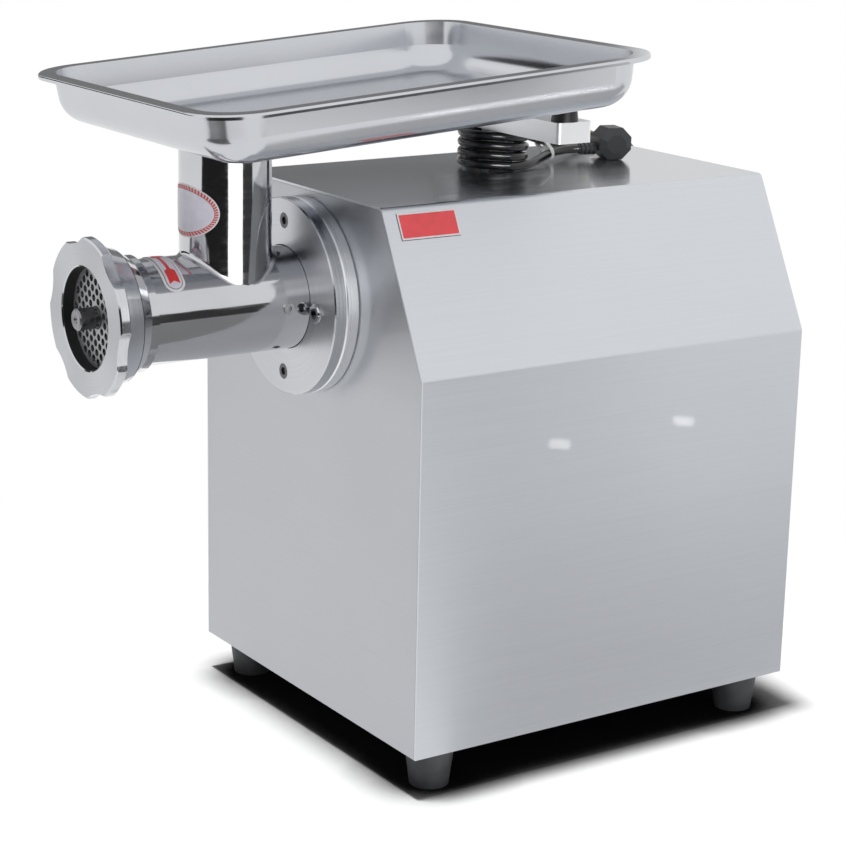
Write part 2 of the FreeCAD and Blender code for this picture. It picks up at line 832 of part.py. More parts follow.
def head_pins():
    """The key that stops the plate turning and the socket screw that marks the barrel's place."""
    index_at = "disc_front - 16"
    index = cylinder("index_bar", "index_radius", "5 + index_proud", "barrel_radius - 5", index_at,
                     "axis_high", "X")
    key_hole = hexagon("index_key_hole", "index_key", "index_key_deep + 1",
                       "barrel_radius + index_proud - index_key_deep", index_at, "axis_high", "X")
    plate_key = cylinder("plate_key_pin", "key_radius", "4", "0", "plate_front + plate_thick / 2",
                         "axis_high - plate_radius - 2.5", "Z")
    node(grouped("head_pin_group", [plate_key, cut("index_cut", index, [key_hole])]), "head_pins")


def auger_bush():
    """The bush that carries the auger's journal."""
    bush = revolved("bush_turn", [
        ("journal_radius + run_gap", "bush_front"),
        ("bush_radius", "bush_front"),
        ("bush_radius", "0 - bush_back"),
        ("journal_radius + run_gap", "0 - bush_back"),
    ])
    place(bush, z="axis_high")
    return node(bush, "auger_bush")


def auger():
    """The worm: a core with a helical flight, a journal and a square tail."""
    front = "(knife_back + free_gap)"
    back = "(bush_front - free_gap)"
    core = revolved("auger_core", [
        ("0", front),
        ("auger_core_radius", front),
        ("auger_core_radius + 3", back),
        ("journal_radius", back),
        ("journal_radius", "0 - bush_back + 2"),
        ("0", "0 - bush_back + 2"),
    ])
    flight = outline(sketch_on(core, "XY_Plane", "flight_outline"), [
        ("auger_core_radius - 3", f"{front} + 1"),
        ("auger_flight_radius", f"{front} + 1 + flight_thick / 4"),
        ("auger_flight_radius", f"{front} + 1 + 3 * flight_thick / 4"),
        ("auger_core_radius - 3", f"{front} + 1 + flight_thick"),
    ])
    worm = core.newObject("PartDesign::AdditiveHelix", "auger_flight")
    worm.Profile = flight
    worm.ReferenceAxis = (flight, ["V_Axis"])
    worm.Mode = 0
    bind(worm, "Pitch", "auger_pitch")
    bind(worm, "Height", f"{back} - {front} - 1 - flight_thick - free_gap")
    place(core, z="axis_high")
    tail = box("auger_tail", "tail_square", "tail_long + 2", "tail_square", y="0 - bush_back",
               z="axis_high - tail_square / 2")
    bore = cylinder("auger_stud_bore", "stud_shank_radius + press_gap", "stud_shank_long + free_gap", y=front,
                    z="axis_high")
    return node(cut("auger_cut", joined("auger_whole", [core, tail]), [bore]), "auger")


def auger_stud():
    """The stud in the auger's nose: shank, square for the knife and the pin through the plate."""
    pin = revolved("stud_turn", [
        ("0", "0 - nut_reach - stud_out"),
        ("stud_radius - 1", "0 - nut_reach - stud_out"),
        ("stud_radius", "0 - nut_reach - stud_out + 1"),
        ("stud_radius", "plate_back + 1"),
        ("stud_shank_radius", "plate_back + 1"),
        ("stud_shank_radius", "knife_back + stud_shank_long"),
        ("0", "knife_back + stud_shank_long"),
    ])
    place(pin, z="axis_high")
    square = box("stud_square", "drive_square", "knife_back + free_gap - plate_back - 1", "drive_square",
                 y="plate_back + 1", z="axis_high - drive_square / 2")
    dimple = cone("stud_dimple", "2.6", "0.4", "2.2", y="0 - nut_reach - stud_out", z="axis_high")
    return node(cut("stud_cut", joined("stud_whole", [pin, square]), [dimple]), "auger_stud")


def knife():
    """The cross knife: a square-holed hub and four swept blades."""
    reach = size("knife_reach")
    wide = size("blade_wide")
    thick = size("knife_thick") - 2 * size("free_gap")
    hub = Part.makeCylinder(size("knife_hub_radius"), thick)
    whole = hub
    for quarter in range(4):
        edge = [
            Vector(0, -wide / 2, 0),
            Vector(reach - 4, -wide / 2, 0),
            Vector(reach, -wide / 4, 0),
            Vector(reach - 1, wide / 2, 0),
            Vector(0, wide * 0.8, 0),
        ]
        blade = Part.Face(Part.makePolygon(edge + edge[:1])).extrude(Vector(0, 0, thick))
        bevel = Part.makeBox(reach, wide, thick, Vector(size("knife_hub_radius"), wide * 0.1, thick * 0.45))
        bevel.rotate(Vector(0, wide * 0.1, thick * 0.45), X_AXIS, -25)
        blade = blade.cut(bevel)
        blade.rotate(Vector(), Z_AXIS, 90 * quarter)
        whole = whole.fuse(blade)
    square = size("drive_square") + 2 * size("hole_fit")
    whole = whole.cut(Part.makeBox(square, square, 3 * thick, Vector(-square / 2, -square / 2, -thick)))
    whole = whole.removeSplitter()
    whole.rotate(Vector(), X_AXIS, 90)
    whole.translate(Vector(0, size("knife_back") - size("free_gap"), size("axis_high")))
    return shaped("knife", whole)


def grinder_plate():
    """The perforated plate, with holes on a hexagonal grid round a plain hub."""
    radius = size("plate_radius")
    thick = size("plate_thick")
    pitch = size("plate_hole_pitch")
    hole = size("plate_hole_radius")
    turn = Rotation(Z_AXIS, size("plate_hole_turn"))
    row_step = pitch * math.sqrt(3) / 2
    rows = int(radius / row_step) + 1
    columns = int(radius / pitch) + 1
    holes = [Part.makeCylinder(size("stud_radius") + size("free_gap"), thick)]
    for row in range(-rows, rows + 1):
        for column in range(-columns, columns + 1):
            spot = turn.multVec(Vector((column + 0.5 * (row % 2)) * pitch, row * row_step, 0))
            if size("plate_hub_radius") + hole < spot.Length < size("nut_open_radius") - hole - 0.5:
                holes.append(Part.makeCylinder(hole, thick, spot))
    notch = size("key_radius") + size("hole_fit")
    holes.append(Part.makeBox(2 * notch, 4, thick, Vector(-notch, radius - 2.5 - size("hole_fit"), 0)))
    plate = Part.makeCylinder(radius, thick).cut(Part.makeCompound(holes))
    plate.rotate(Vector(), X_AXIS, -90)
    plate.translate(Vector(0, size("plate_front"), size("axis_high")))
    return shaped("grinder_plate", plate)


def ring_nut():
    """The scalloped ring nut that holds the plate on the head."""
    front = "(0 - nut_reach)"
    body = revolved("nut_turn", [
        ("nut_open_radius + 1", front),
        ("nut_radius - 1", front),
        ("nut_radius", f"{front} + 1"),
        ("nut_radius", f"{front} + nut_flange - 0.8"),
        ("nut_radius - 0.8", f"{front} + nut_flange"),
        ("nut_shoulder", f"{front} + nut_flange"),
        ("bell_radius", "nut_back"),
        ("thread_radius + free_gap", "nut_back"),
        ("thread_radius + free_gap", "plate_front - run_gap"),
        ("nut_open_radius", "plate_front - run_gap"),
        ("nut_open_radius", f"{front} + 1"),
    ])
    place(body, z="axis_high")
    scallops = []
    for index in range(int(size("scallop_count"))):
        turn = f"(scallop_turn * 1 deg + {index} * 360 deg / scallop_count)"
        out = "(nut_radius - scallop_deep + scallop_radius)"
        scallops.append(cylinder(f"scallop_{index}", "scallop_radius", "nut_flange + 10",
                                 f"{out} * cos({turn})",
                                 f"{front} - 10", f"axis_high + {out} * sin({turn})"))
    return node(cut("nut_cut", body, scallops), "ring_nut")


# Tray
def rounded_rectangle(inset, corner, high):
    """The tray's outline, moved in by an inset, with round corners, at a height."""
    x = size("tray_wide") / 2 - inset
    y = size("tray_long") / 2 - inset
    diagonal = corner * (1 - math.sqrt(0.5))
    edges = [Part.makeLine(Vector(x, 0, 0), Vector(x, y - corner, 0))]
    turns = [(1, 1), (-1, 1), (-1, -1), (1, -1)]
    for index, (sx, sy) in enumerate(turns):
        side = Vector(sx * x, sy * (y - corner), 0)
        middle = Vector(sx * (x - diagonal), sy * (y - diagonal), 0)
        end = Vector(sx * (x - corner), sy * y, 0)
        points = (side, middle, end) if sx * sy > 0 else (end, middle, side)
        edges.append(Part.Arc(*points).toShape())
        after = turns[(index + 1) % 4]
        if index == 3:
            edges.append(Part.makeLine(Vector(x, -(y - corner), 0), Vector(x, 0, 0)))
        elif index % 2 == 0:
            edges.append(Part.makeLine(end, Vector(after[0] * (x - corner), after[1] * y, 0)))
        else:
            edges.append(Part.makeLine(side, Vector(after[0] * x, after[1] * (y - corner), 0)))
    path = Part.Wire(edges)
    path.translate(Vector(0, 0, high))
    return path


def slab(inset, corner, low, high):
    """A solid of the tray's outline between two heights."""
    return Part.Face(rounded_rectangle(inset, corner, low)).extrude(Vector(0, 0, high - low))


def pan_form(margin, above):
    """The tray's pressed form below its rim, made smaller all round by a margin and run on above the rim."""
    deep = size("tray_deep") - margin
    draft = size("tray_draft")
    corner = size("tray_wall_corner") - margin
    inset = size("tray_rim") + margin
    spread = draft * above / size("tray_deep")
    form = Part.makeLoft([
        rounded_rectangle(inset + draft, corner - draft, -deep),
        rounded_rectangle(inset - spread, corner + spread, above),
    ], True, True)
    foot = [edge for edge in form.Edges if edge.BoundBox.ZMax < 1 - deep]
    return form.makeFillet(size("tray_bend") - margin, foot)


def tray():
    """The pressed tray: a pan tilted up at the rear, with an upright collar that enters the throat."""
    thick = size("tray_thick")
    deep = size("tray_deep")
    lip = size("tray_lip")
    corner = size("tray_corner")
    rim = slab(0, corner, -lip, 0)
    brim = [edge for edge in rim.Edges if edge.BoundBox.ZMin > -thick / 2]
    rim = rim.makeFillet(size("tray_roll"), brim).cut(slab(thick, corner - thick, -lip, -thick))
    pan = rim.fuse(pan_form(0, 0)).cut(pan_form(thick, lip)).removeSplitter()
    pan.translate(Vector(0, size("tray_long") / 2 - size("tray_ahead"), deep))
    pan.rotate(Vector(), X_AXIS, size("tray_pitch"))
    seat = Vector(0, -size("throat_ahead"), size("throat_top") + size("tray_seat"))
    pan.translate(seat)
    radius = size("collar_radius")
    drop = size("collar_drop")
    collar = Part.makeCylinder(radius, drop + 2 * thick, seat - Vector(0, 0, drop))
    bore = Part.makeCylinder(radius - size("collar_thick"), drop + 40, seat - Vector(0, 0, drop + 10))
    inside = Part.makeBox(4 * radius, 4 * radius, deep, Vector(-2 * radius, -2 * radius, thick / 2))
    inside.rotate(Vector(), X_AXIS, size("tray_pitch"))
    inside.translate(seat)
    return shaped("tray", pan.fuse(collar.cut(inside)).cut(bore).removeSplitter())


# Gear train
def gear_blank(module, teeth, face):
    """A spur gear about Z with a tooth on the +X side."""
    wires = fcgear.FCWireBuilder()
    involute.CreateExternalGear(wires, module, teeth, size("pressure_angle"), split=True,
                                shiftCoeff=-size("tooth_thinning"))
    profile = Part.Wire([curve.toShape() for curve in wires.wire])
    return Part.Face(profile).extrude(Vector(0, 0, face))


def gear(module, teeth, face, start, high, tooth_up, bore=0, hub=0):
    """A spur gear about Y: a tooth above, or a gap below, faces the gear that it meets."""
    count = int(size(teeth))
    wheel = gear_blank(size(module), count, size(face))
    phase = -90.0 if tooth_up else 90.0 + 180.0 / count
    wheel.rotate(Vector(), Z_AXIS, phase)
    if hub:
        web = size(face) * 0.25
        rim = size(module) * (count / 2 - 1.25) - 5
        for floor in (-1, size(face) - web):
            ring = Part.makeCylinder(rim, web + 1, Vector(0, 0, floor))
            wheel = wheel.cut(ring.cut(Part.makeCylinder(hub, web + 1, Vector(0, 0, floor))))
    if bore:
        wheel = wheel.cut(Part.makeCylinder(bore + size("press_gap"), size(face)))
    wheel.rotate(Vector(), X_AXIS, -90)
    wheel.translate(Vector(0, size(start), size(high)))
    return wheel


def pinion(name, module, teeth, face, start, high):
    """Teeth that are cut on a shaft."""
    teeth_blank = doc.addObject("Part::Feature", name)
    teeth_blank.Shape = gear(module, teeth, face, start, high, True)
    return teeth_blank


def gears():
    """The two wheels of the train, keyed on their shafts."""
    hub = size("gear_hub")
    shaped("countershaft_gear", gear("first_module", "lay_gear_teeth", "first_face", "first_mesh_back",
                                     "lay_high", False, size("shaft_radius"), hub))
    shaped("output_gear", gear("second_module", "output_teeth", "second_face", "mesh_back",
                               "axis_high", False, size("big_shaft_radius"), hub))


def shafts():
    """The output shaft with its square socket, and the two shafts with pinions cut on them."""
    step = "sheet_thick + case_front_wall"
    bearing_end = "cover_front + cover_thick"
    output = revolved("output_turn", [
        ("0", "0 - sleeve_out"),
        ("sleeve_radius", "0 - sleeve_out"),
        ("sleeve_radius", step),
        ("big_shaft_radius", step),
        ("big_shaft_radius", "mesh_back + second_face + 1"),
        ("shaft_radius", "mesh_back + second_face + 1"),
        ("shaft_radius", bearing_end),
        ("0", bearing_end),
    ])
    place(output, z="axis_high")
    socket = box("output_socket", "sleeve_square", "sleeve_out + 2", "sleeve_square", y="0 - sleeve_out - 1",
                 z="axis_high - sleeve_square / 2")
    node(cut("output_cut", output, [socket]), "output_shaft")
    lay = cylinder("lay_bar", "shaft_radius", f"{bearing_end} - ({step})", y=step, z="lay_high")
    lay_teeth = pinion("lay_teeth_blank", "second_module", "lay_pinion_teeth", "second_face", "mesh_back",
                       "lay_high")
    node(joined("lay_whole", [lay, lay_teeth]), "countershaft")
    motor = cylinder("motor_bar", "motor_shaft_radius",
                     "shell_back + bell_thick + fan_wide + 8 - first_mesh_back",
                     y="first_mesh_back", z="motor_high")
    motor_cut = pinion("motor_teeth_blank", "first_module", "motor_teeth", "first_face", "first_mesh_back",
                       "motor_high")
    node(joined("motor_whole", [motor, motor_cut]), "motor_shaft")


def bearing(name, bore, radius, wide, start, high):
    """A shielded bearing as one ring with a recess on each face."""
    low = f"({bore} + run_gap + ({radius} - {bore}) * 0.25)"
    top = f"({radius} - ({radius} - {bore}) * 0.25)"
    end = f"{start} + {wide}"
    ring = revolved(name, [
        (f"{bore} + run_gap", start),
        (low, start),
        (low, f"{start} + 0.8"),
        (top, f"{start} + 0.8"),
        (top, start),
        (f"{radius} - press_gap", start),
        (f"{radius} - press_gap", end),
        (top, end),
        (top, f"{end} - 0.8"),
        (low, f"{end} - 0.8"),
        (low, end),
        (f"{bore} + run_gap", end),
    ])
    return place(ring, z=high)


# Gearbox
def stadium(name, radius, deep, start):
    """A slab with round ends about the output axis and the motor axis."""
    drop = "(axis_high - motor_high)"
    return joined(name, [
        cylinder(name + "_upper", radius, deep, y=start, z="axis_high"),
        cylinder(name + "_lower", radius, deep, y=start, z="motor_high"),
        box(name + "_middle", f"2 * ({radius})", deep, drop, y=start, z="motor_high"),
    ])


def gearbox():
    """The cast case with its foot, the cover that closes it, the bearings and the shaft seal."""
    wall_back = "sheet_thick + case_front_wall"
    shell = cut("case_shell", stadium("case_outer", "case_radius", "case_deep", "sheet_thick"),
                [stadium("case_inner", "case_radius - case_wall", "case_deep", wall_back)])
    foot_deep = "cover_front / 2 - gearbox_foot_thick / 2"
    foot = joined("case_foot", [
        box("case_foot_web", "gearbox_foot_wide", "gearbox_foot_thick", "motor_high - base_top", y=foot_deep,
            z="base_top"),
        box("case_foot_sole", "gearbox_foot_wide", "4 * gearbox_foot_thick", "gearbox_foot_thick / 2",
            y=f"{foot_deep} - 1.5 * gearbox_foot_thick", z="base_top"),
    ])
    room = stadium("case_foot_room", "case_radius - case_wall / 2", "case_deep", "sheet_thick")
    case = joined("case_whole", [
        shell,
        cut("case_foot_cut", foot, [room]),
        cylinder("case_boss_output", "big_bearing_radius + boss_wall", "case_front_wall + big_bearing_wide",
                 y="sheet_thick", z="axis_high"),
        cylinder("case_boss_lay", "bearing_radius + boss_wall", "case_front_wall + bearing_wide",
                 y="sheet_thick", z="lay_high"),
    ])
    tools = [
        cylinder("case_sleeve_hole", "sleeve_radius + 1", "30", y="0 - 10", z="axis_high"),
        cylinder("case_seal_seat", "seal_radius + press_gap", "seal_wide", y="sheet_thick", z="axis_high"),
        cylinder("case_output_seat", "big_bearing_radius", "60", y=wall_back, z="axis_high"),
        cylinder("case_lay_seat", "bearing_radius", "60", y=wall_back, z="lay_high"),
    ]
    for end, high in DISC_BOLTS:
        tools.append(cylinder(f"case_bolt_{end}", "bolt_radius + hole_fit", "disc_bolt_long", y="0 - 10",
                              z=high))
    node(cut("case_cut", case, tools), "gearbox_case")
    plate = stadium("cover_blank", "case_radius", "cover_thick", "cover_front")
    seats = [
        cylinder("cover_output_seat", "bearing_radius", "60", y="cover_front - 1", z="axis_high"),
        cylinder("cover_lay_seat", "bearing_radius", "60", y="cover_front - 1", z="lay_high"),
        cylinder("cover_motor_hole", "motor_shaft_radius + 1", "60", y="cover_front - 1", z="motor_high"),
    ]
    bolts = []
    reach = "(case_radius - case_wall / 2)"
    for index, (across, high) in enumerate([
            (f"{reach} * sin(45 deg)", f"axis_high + {reach} * cos(45 deg)"),
            (f"0 - {reach} * sin(45 deg)", f"axis_high + {reach} * cos(45 deg)"),
            (reach, "lay_high"),
            (f"0 - {reach}", "lay_high")]):
        seats.append(cylinder(f"cover_hole_{index}", "screw_radius + hole_fit", "60", across,
                              "cover_front - 1", high))
        bolts.append(screw(f"cover_bolt_{index}", across, "cover_front + cover_thick", high, "Y",
                           "screw_head_radius", "screw_head_thick", "screw_radius", "cover_thick", False))
    node(cut("cover_cut", plate, seats), "gearbox_cover")
    node(grouped("cover_bolt_group", bolts), "gearbox_bolts")
    node(grouped("output_bearing_pair", [
        bearing("output_front_bearing", "big_shaft_radius", "big_bearing_radius", "big_bearing_wide",
                wall_back, "axis_high"),
        bearing("output_rear_bearing", "shaft_radius", "bearing_radius", "bearing_wide", "cover_front",
                "axis_high"),
    ]), "output_bearings")
    node(grouped("lay_bearing_pair", [
        bearing(f"lay_{end}_bearing", "shaft_radius", "bearing_radius", "bearing_wide", start, "lay_high")
        for end, start in (("front", wall_back), ("rear", "cover_front"))
    ]), "countershaft_bearings")
    seal = revolved("seal_turn", [
        ("sleeve_radius + run_gap", "sheet_thick"),
        ("seal_radius", "sheet_thick"),
        ("seal_radius", "sheet_thick + seal_wide"),
        ("sleeve_radius + 2", "sheet_thick + seal_wide"),
        ("sleeve_radius + 2", "sheet_thick + 3"),
        ("sleeve_radius + run_gap", "sheet_thick + 2"),
    ])
    place(seal, z="axis_high")
    node(seal, "shaft_seal")


# Motor
def motor():
    """The motor's shell, bells, stator, windings and rotor with its fan."""
    def ring(name, inner, outer, long, start):
        """A plain ring about the motor axis."""
        return cut(name, cylinder(name + "_outer", outer, long, y=start, z="motor_high"),
                   [cylinder(name + "_inner", inner, f"{long} + 2", y=f"{start} - 1", z="motor_high")])

    node(ring("shell_ring", "motor_radius - motor_shell", "motor_radius", "motor_long", "shell_front"),
         "motor_shell")
    bearings = []
    for end, start, seat in (
            ("front", "motor_front", "motor_front + bell_thick - motor_bearing_wide"),
            ("rear", "shell_back", "shell_back")):
        blank = cylinder(f"{end}_bell_blank", "motor_radius", "bell_thick", y=start, z="motor_high")
        holes = [
            cylinder(f"{end}_bell_seat", "motor_bearing_radius", "motor_bearing_wide", y=seat,
                     z="motor_high"),
            cylinder(f"{end}_bell_hole", "motor_shaft_radius + 1", "60", y=f"{start} - 10", z="motor_high"),
        ]
        if end == "front":
            for index, (across, high) in enumerate([("case_radius - case_wall / 2", "lay_high"),
                                                    ("0 - case_radius + case_wall / 2", "lay_high")]):
                holes.append(cylinder(f"bell_clear_{index}", "screw_head_radius + 1", "screw_head_thick + 1",
                                      across, start, high))
        node(cut(f"{end}_bell_cut", blank, holes), f"motor_{end}_bell")
        bearings.append(bearing(f"motor_{end}_bearing", "motor_shaft_radius", "motor_bearing_radius",
                                "motor_bearing_wide", seat, "motor_high"))
    node(grouped("motor_bearing_pair", bearings), "motor_bearings")
    node(ring("stator_ring", "stator_bore", "motor_radius - motor_shell - press_gap", "stator_long",
              "stator_front"),
         "stator_core")
    windings = []
    for end, start in (
            ("front", "stator_front - winding_thick"),
            ("rear", "stator_front + stator_long + winding_thick")):
        coil = doc.addObject("Part::Torus", f"winding_{end}_ring")
        coil.Placement.Rotation = TURN["Y"]
        bind(coil, "Radius1", "winding_radius")
        bind(coil, "Radius2", "winding_thick")
        windings.append(place(coil, y=start, z="motor_high"))
    node(grouped("winding_pair", windings), "stator_windings")
    node(ring("rotor_ring", "motor_shaft_radius + press_gap", "stator_bore - air_gap", "stator_long",
              "stator_front"),
         "rotor_core")
    fan_start = "(shell_back + bell_thick + 3)"
    hub = cylinder("fan_hub", "motor_shaft_radius + 8", "fan_wide", y=fan_start, z="motor_high")
    disc = cylinder("fan_disc", "fan_radius", "2", y=fan_start, z="motor_high")
    blades = []
    root = "(motor_shaft_radius + 4)"
    for index in range(int(size("fan_blades"))):
        turn = f"({index} * 360 deg / fan_blades)"
        blade = box(f"fan_blade_{index}", "2", "fan_wide", "fan_radius - motor_shaft_radius - 5")
        blade.Placement.Rotation = Rotation(Y_AXIS, 360.0 / size("fan_blades") * index)
        place(blade, f"{root} * sin({turn}) - cos({turn})", fan_start,
              f"motor_high + {root} * cos({turn}) + sin({turn})")
        blades.append(blade)
    bore = cylinder("fan_bore", "motor_shaft_radius + press_gap", "60", y=f"{fan_start} - 10", z="motor_high")
    node(cut("fan_cut", joined("fan_whole", [hub, disc] + blades), [bore]), "cooling_fan")


def motor_cradle():
    """Two saddles on the base plate that carry the motor."""
    tall = "motor_high - base_top"
    saddles = []
    for end, along in (("front", "shell_front + 8"), ("rear", "shell_back - 8 - cradle_thick")):
        saddles.append(box(f"saddle_{end}", "cradle_wide", "cradle_thick", tall, y=along, z="base_top"))
    strip = box("saddle_strip", "cradle_wide", "motor_long - 16", "cradle_thick", y="shell_front + 8",
                z="base_top")
    clear = cylinder("saddle_clear", "motor_radius + press_gap", "motor_long + 40", y="shell_front - 20",
                     z="motor_high")
    return node(cut("cradle_cut", joined("cradle_whole", saddles + [strip]), [clear]), "motor_cradle")


# Electrics
def electrics():
    """The run capacitor in its clip and the terminal block by the gland."""
    rest = "base_top + clip_thick + capacitor_radius"
    can = cylinder("capacitor_can", "capacitor_radius", "capacitor_long", "capacitor_side",
                   "capacitor_back", rest)
    node(can, "run_capacitor")
    clip_start = "capacitor_back + (capacitor_long - clip_wide) / 2"
    strap = joined("clip_blank", [
        cylinder("clip_round", "capacitor_radius + clip_thick", "clip_wide", "capacitor_side", clip_start,
                 rest),
        box("clip_sole", "2 * capacitor_radius", "clip_wide", "clip_thick + 2", "capacitor_side", clip_start,
            "base_top"),
    ])
    room = cylinder("clip_room", "capacitor_radius + press_gap", "clip_wide + 2", "capacitor_side",
                    f"{clip_start} - 1", rest)
    node(cut("clip_cut", strap, [room]), "capacitor_clip")
    block = box("terminal_block_box", "terminal_long", "terminal_wide", "terminal_tall", "gland_side",
                "housing_deep - sheet_thick - terminal_wide", "gland_high - 20 - terminal_tall")
    wells = [cylinder(f"terminal_well_{index}", "2.5", "8", f"gland_side + {index - 1} * terminal_long / 3",
                      "housing_deep - sheet_thick - terminal_wide / 2", "gland_high - 27",
                      "Z") for index in range(3)]
    node(cut("terminal_cut", block, wells), "terminal_block")


def rocker_switch():
    """A rocker switch on the left shoulder: a body with a bezel, and the rocker on its pin."""
    wall = 1.5
    clear = size("free_gap")
    tilt = size("rocker_tilt")
    long = size("switch_long")
    wide = size("switch_wide")
    deep = size("switch_deep")
    lip = size("bezel_lip")
    thick = size("bezel_thick")
    pin = size("rocker_pin_radius")

    def block(length, width, low, high):
        """A block centred on the switch, between two heights."""
        return Part.makeBox(length, width, high - low, Vector(-length / 2, -width / 2, low))

    frame = block(long + 2 * lip, wide + 2 * lip, 0, thick).fuse(block(long, wide, -deep, thick))
    frame = frame.cut(block(long - 2 * wall, wide - 2 * wall, -deep * 0.55, thick + 1))
    pivot_high = -2.0
    axle = Part.makeCylinder(pin, wide - wall, Vector(0, -(wide - wall) / 2, pivot_high), Y_AXIS)
    frame = frame.fuse(axle).removeSplitter()
    half = long / 2 - wall - 1.2
    edge = [
        Vector(-half, 0, -5),
        Vector(-half, 0, 4.6),
        Vector(0, 0, 4.6 - half * math.tan(math.radians(tilt))),
        Vector(half, 0, 4.6),
        Vector(half, 0, -5),
        Vector(0, 0, -7),
    ]
    pivot = Vector(0, 0, pivot_high)
    lean = Rotation(Y_AXIS, tilt)
    edge = [pivot + lean.multVec(corner - pivot) for corner in edge]
    rocker_wide = wide - 2 * wall - 2 * clear
    profile = Part.Face(Part.makePolygon(edge + edge[:1]))
    rocker = profile.extrude(Vector(0, rocker_wide, 0))
    rocker.translate(Vector(0, -rocker_wide / 2, 0))
    hole = Part.makeCylinder(pin + size("run_gap"), wide, Vector(0, -wide / 2, pivot_high), Y_AXIS)
    rocker = rocker.cut(hole)
    for label, shape in (("switch_body", frame), ("switch_rocker", rocker)):
        feature = doc.addObject("Part::Feature", label)
        feature.Shape = shape
        node(on_shoulder(feature), label)


# Mains cord
LEAD_ROUTE = [
    (-98.0, 332.0, 302.0),
    (-98.0, 350.0, 302.0),
    (-98.0, 363.0, 316.0),
    (-98.0, 363.0, 341.0),
    (-97.0, 346.0, 364.0),
    (-86.0, 319.0, 381.5),
    (-66.0, 282.0, 379.8),
    (-46.0, 247.0, 380.5),
    (-26.5, 210.0, 388.5),
]
LEAD_LEAVES = 165.0
TAIL_LEAVES = 10.0
COIL_TURNS = 3
PLUG_HEADING = 76.0


def route_wire(points):
    """A route of straight runs and tangent arcs; prints the tightest bend."""
    spots = [Vector(*point) for point in points]
    edges = []
    start = spots[0]
    tightest = 1e9
    for before, corner, after in zip(spots, spots[1:], spots[2:]):
        way_in = (before - corner)
        way_out = (after - corner)
        half_turn = (math.pi - way_in.getAngle(way_out)) / 2
        reach = 0.45 * min(way_in.Length, way_out.Length)
        radius = reach / math.tan(half_turn)
        tightest = min(tightest, radius)
        first = corner + way_in.normalize() * reach
        last = corner + way_out.normalize() * reach
        middle_way = (way_in + way_out).normalize()
        middle = corner + middle_way * (radius / math.cos(half_turn) - radius)
        edges.append(Part.makeLine(start, first))
        edges.append(Part.Arc(first, middle, last).toShape())
        start = last
    edges.append(Part.makeLine(start, spots[-1]))
    return Part.Wire(edges), tightest


def tube(wire, radius):
    """A round tube along a wire."""
    start = wire.Edges[0]
    spot = start.valueAt(start.FirstParameter)
    way = start.tangentAt(start.FirstParameter)
    ring = Part.Wire([Part.makeCircle(radius, spot, way)])
    pipe = Part.BRepOffsetAPI.MakePipeShell(wire)
    pipe.add(ring, False, False)
    pipe.build()
    pipe.makeSolid()
    return pipe.shape()


COIL_LEVEL = 165.0


def coil_drop(angle):
    """How far the coil has come down: each turn lies level, then drops one pitch."""
    turns, rest = divmod(angle - LEAD_LEAVES, 360.0)
    step = max(0.0, rest - COIL_LEVEL) / (360.0 - COIL_LEVEL)
    return size("coil_pitch") * (turns + step)


def coil_point(angle):
    """A point of the coil's centre line, which ends lying on the top."""
    low = size("top_high") + size("cord_radius") + 0.1
    high = low + coil_drop(coil_end()) - coil_drop(angle)
    radius = size("coil_radius")
    around = math.radians(angle)
    return Vector(size("coil_side") + radius * math.cos(around),
                  size("coil_back") + radius * math.sin(around), high)


def coil_end():
    """The angle at which the tail leaves the coil."""
    return TAIL_LEAVES + 360.0 * (COIL_TURNS + 1)


def coil_way(angle):
    """The level direction of the coil at an angle."""
    around = math.radians(angle)
    return Vector(-math.sin(around), math.cos(around), 0)


def biarc(start, way, end, end_way):
    """Two tangent arcs between two points with given directions."""
    chord = end - start
    total = way + end_way
    a = 2 * (1 - way.dot(end_way))
    b = 2 * chord.dot(total)
    c = -chord.dot(chord)
    reach = (-b + math.sqrt(b * b - 4 * a * c)) / (2 * a)
    first = start + way * reach
    last = end - end_way * reach
    joint = (first + last) * 0.5
    return [arc_from(start, way, joint), arc_from(joint, (last - first).normalize(), end)]


def arc_from(start, way, end):
    """The arc that leaves a point in a direction and ends at another point."""
    chord = end - start
    across = (chord - way * chord.dot(way)).normalize()
    radius = chord.dot(chord) / (2 * chord.dot(across))
    centre = start + across * radius
    out = ((start + end) * 0.5 - centre).normalize()
    return Part.Arc(start, centre + out * radius, end).toShape()


def coil_wire():
    """The coil's centre line as short biarcs, level at both ends."""
    level_marks = [COIL_LEVEL * part / 4 for part in range(4)]
    drop_marks = [COIL_LEVEL + (360.0 - COIL_LEVEL) * part / 4 for part in range(4)]
    marks = level_marks + drop_marks
    angles = [LEAD_LEAVES + 360.0 * turn + mark for turn in range(COIL_TURNS + 1) for mark in marks]
    angles = [angle for angle in angles if angle < coil_end() - 10.0] + [coil_end()]
    ways = []
    for angle in angles:
        span = (coil_point(angle + 20.0) - coil_point(angle - 20.0)).Length
        fall = (coil_drop(angle + 20.0) - coil_drop(angle - 20.0)) / span
        at_end = angle in (angles[0], angles[-1])
        ways.append((coil_way(angle) - Z_AXIS * (0.0 if at_end else fall)).normalize())
    edges = []
    for first, last in zip(range(len(angles)), range(1, len(angles))):
        edges += biarc(coil_point(angles[first]), ways[first], coil_point(angles[last]), ways[last])
    return Part.Wire(edges)


def coil_self_gap(wire):
    """The least gap between the coil's turns, measured on points along it."""
    spots = wire.discretize(Distance=2.0)
    apart = int(math.pi * size("coil_radius") / 2.0)
    least = min(
        (spots[i] - spots[j]).Length for i in range(len(spots)) for j in range(i + apart, len(spots)))
    return least - 2 * size("cord_radius")


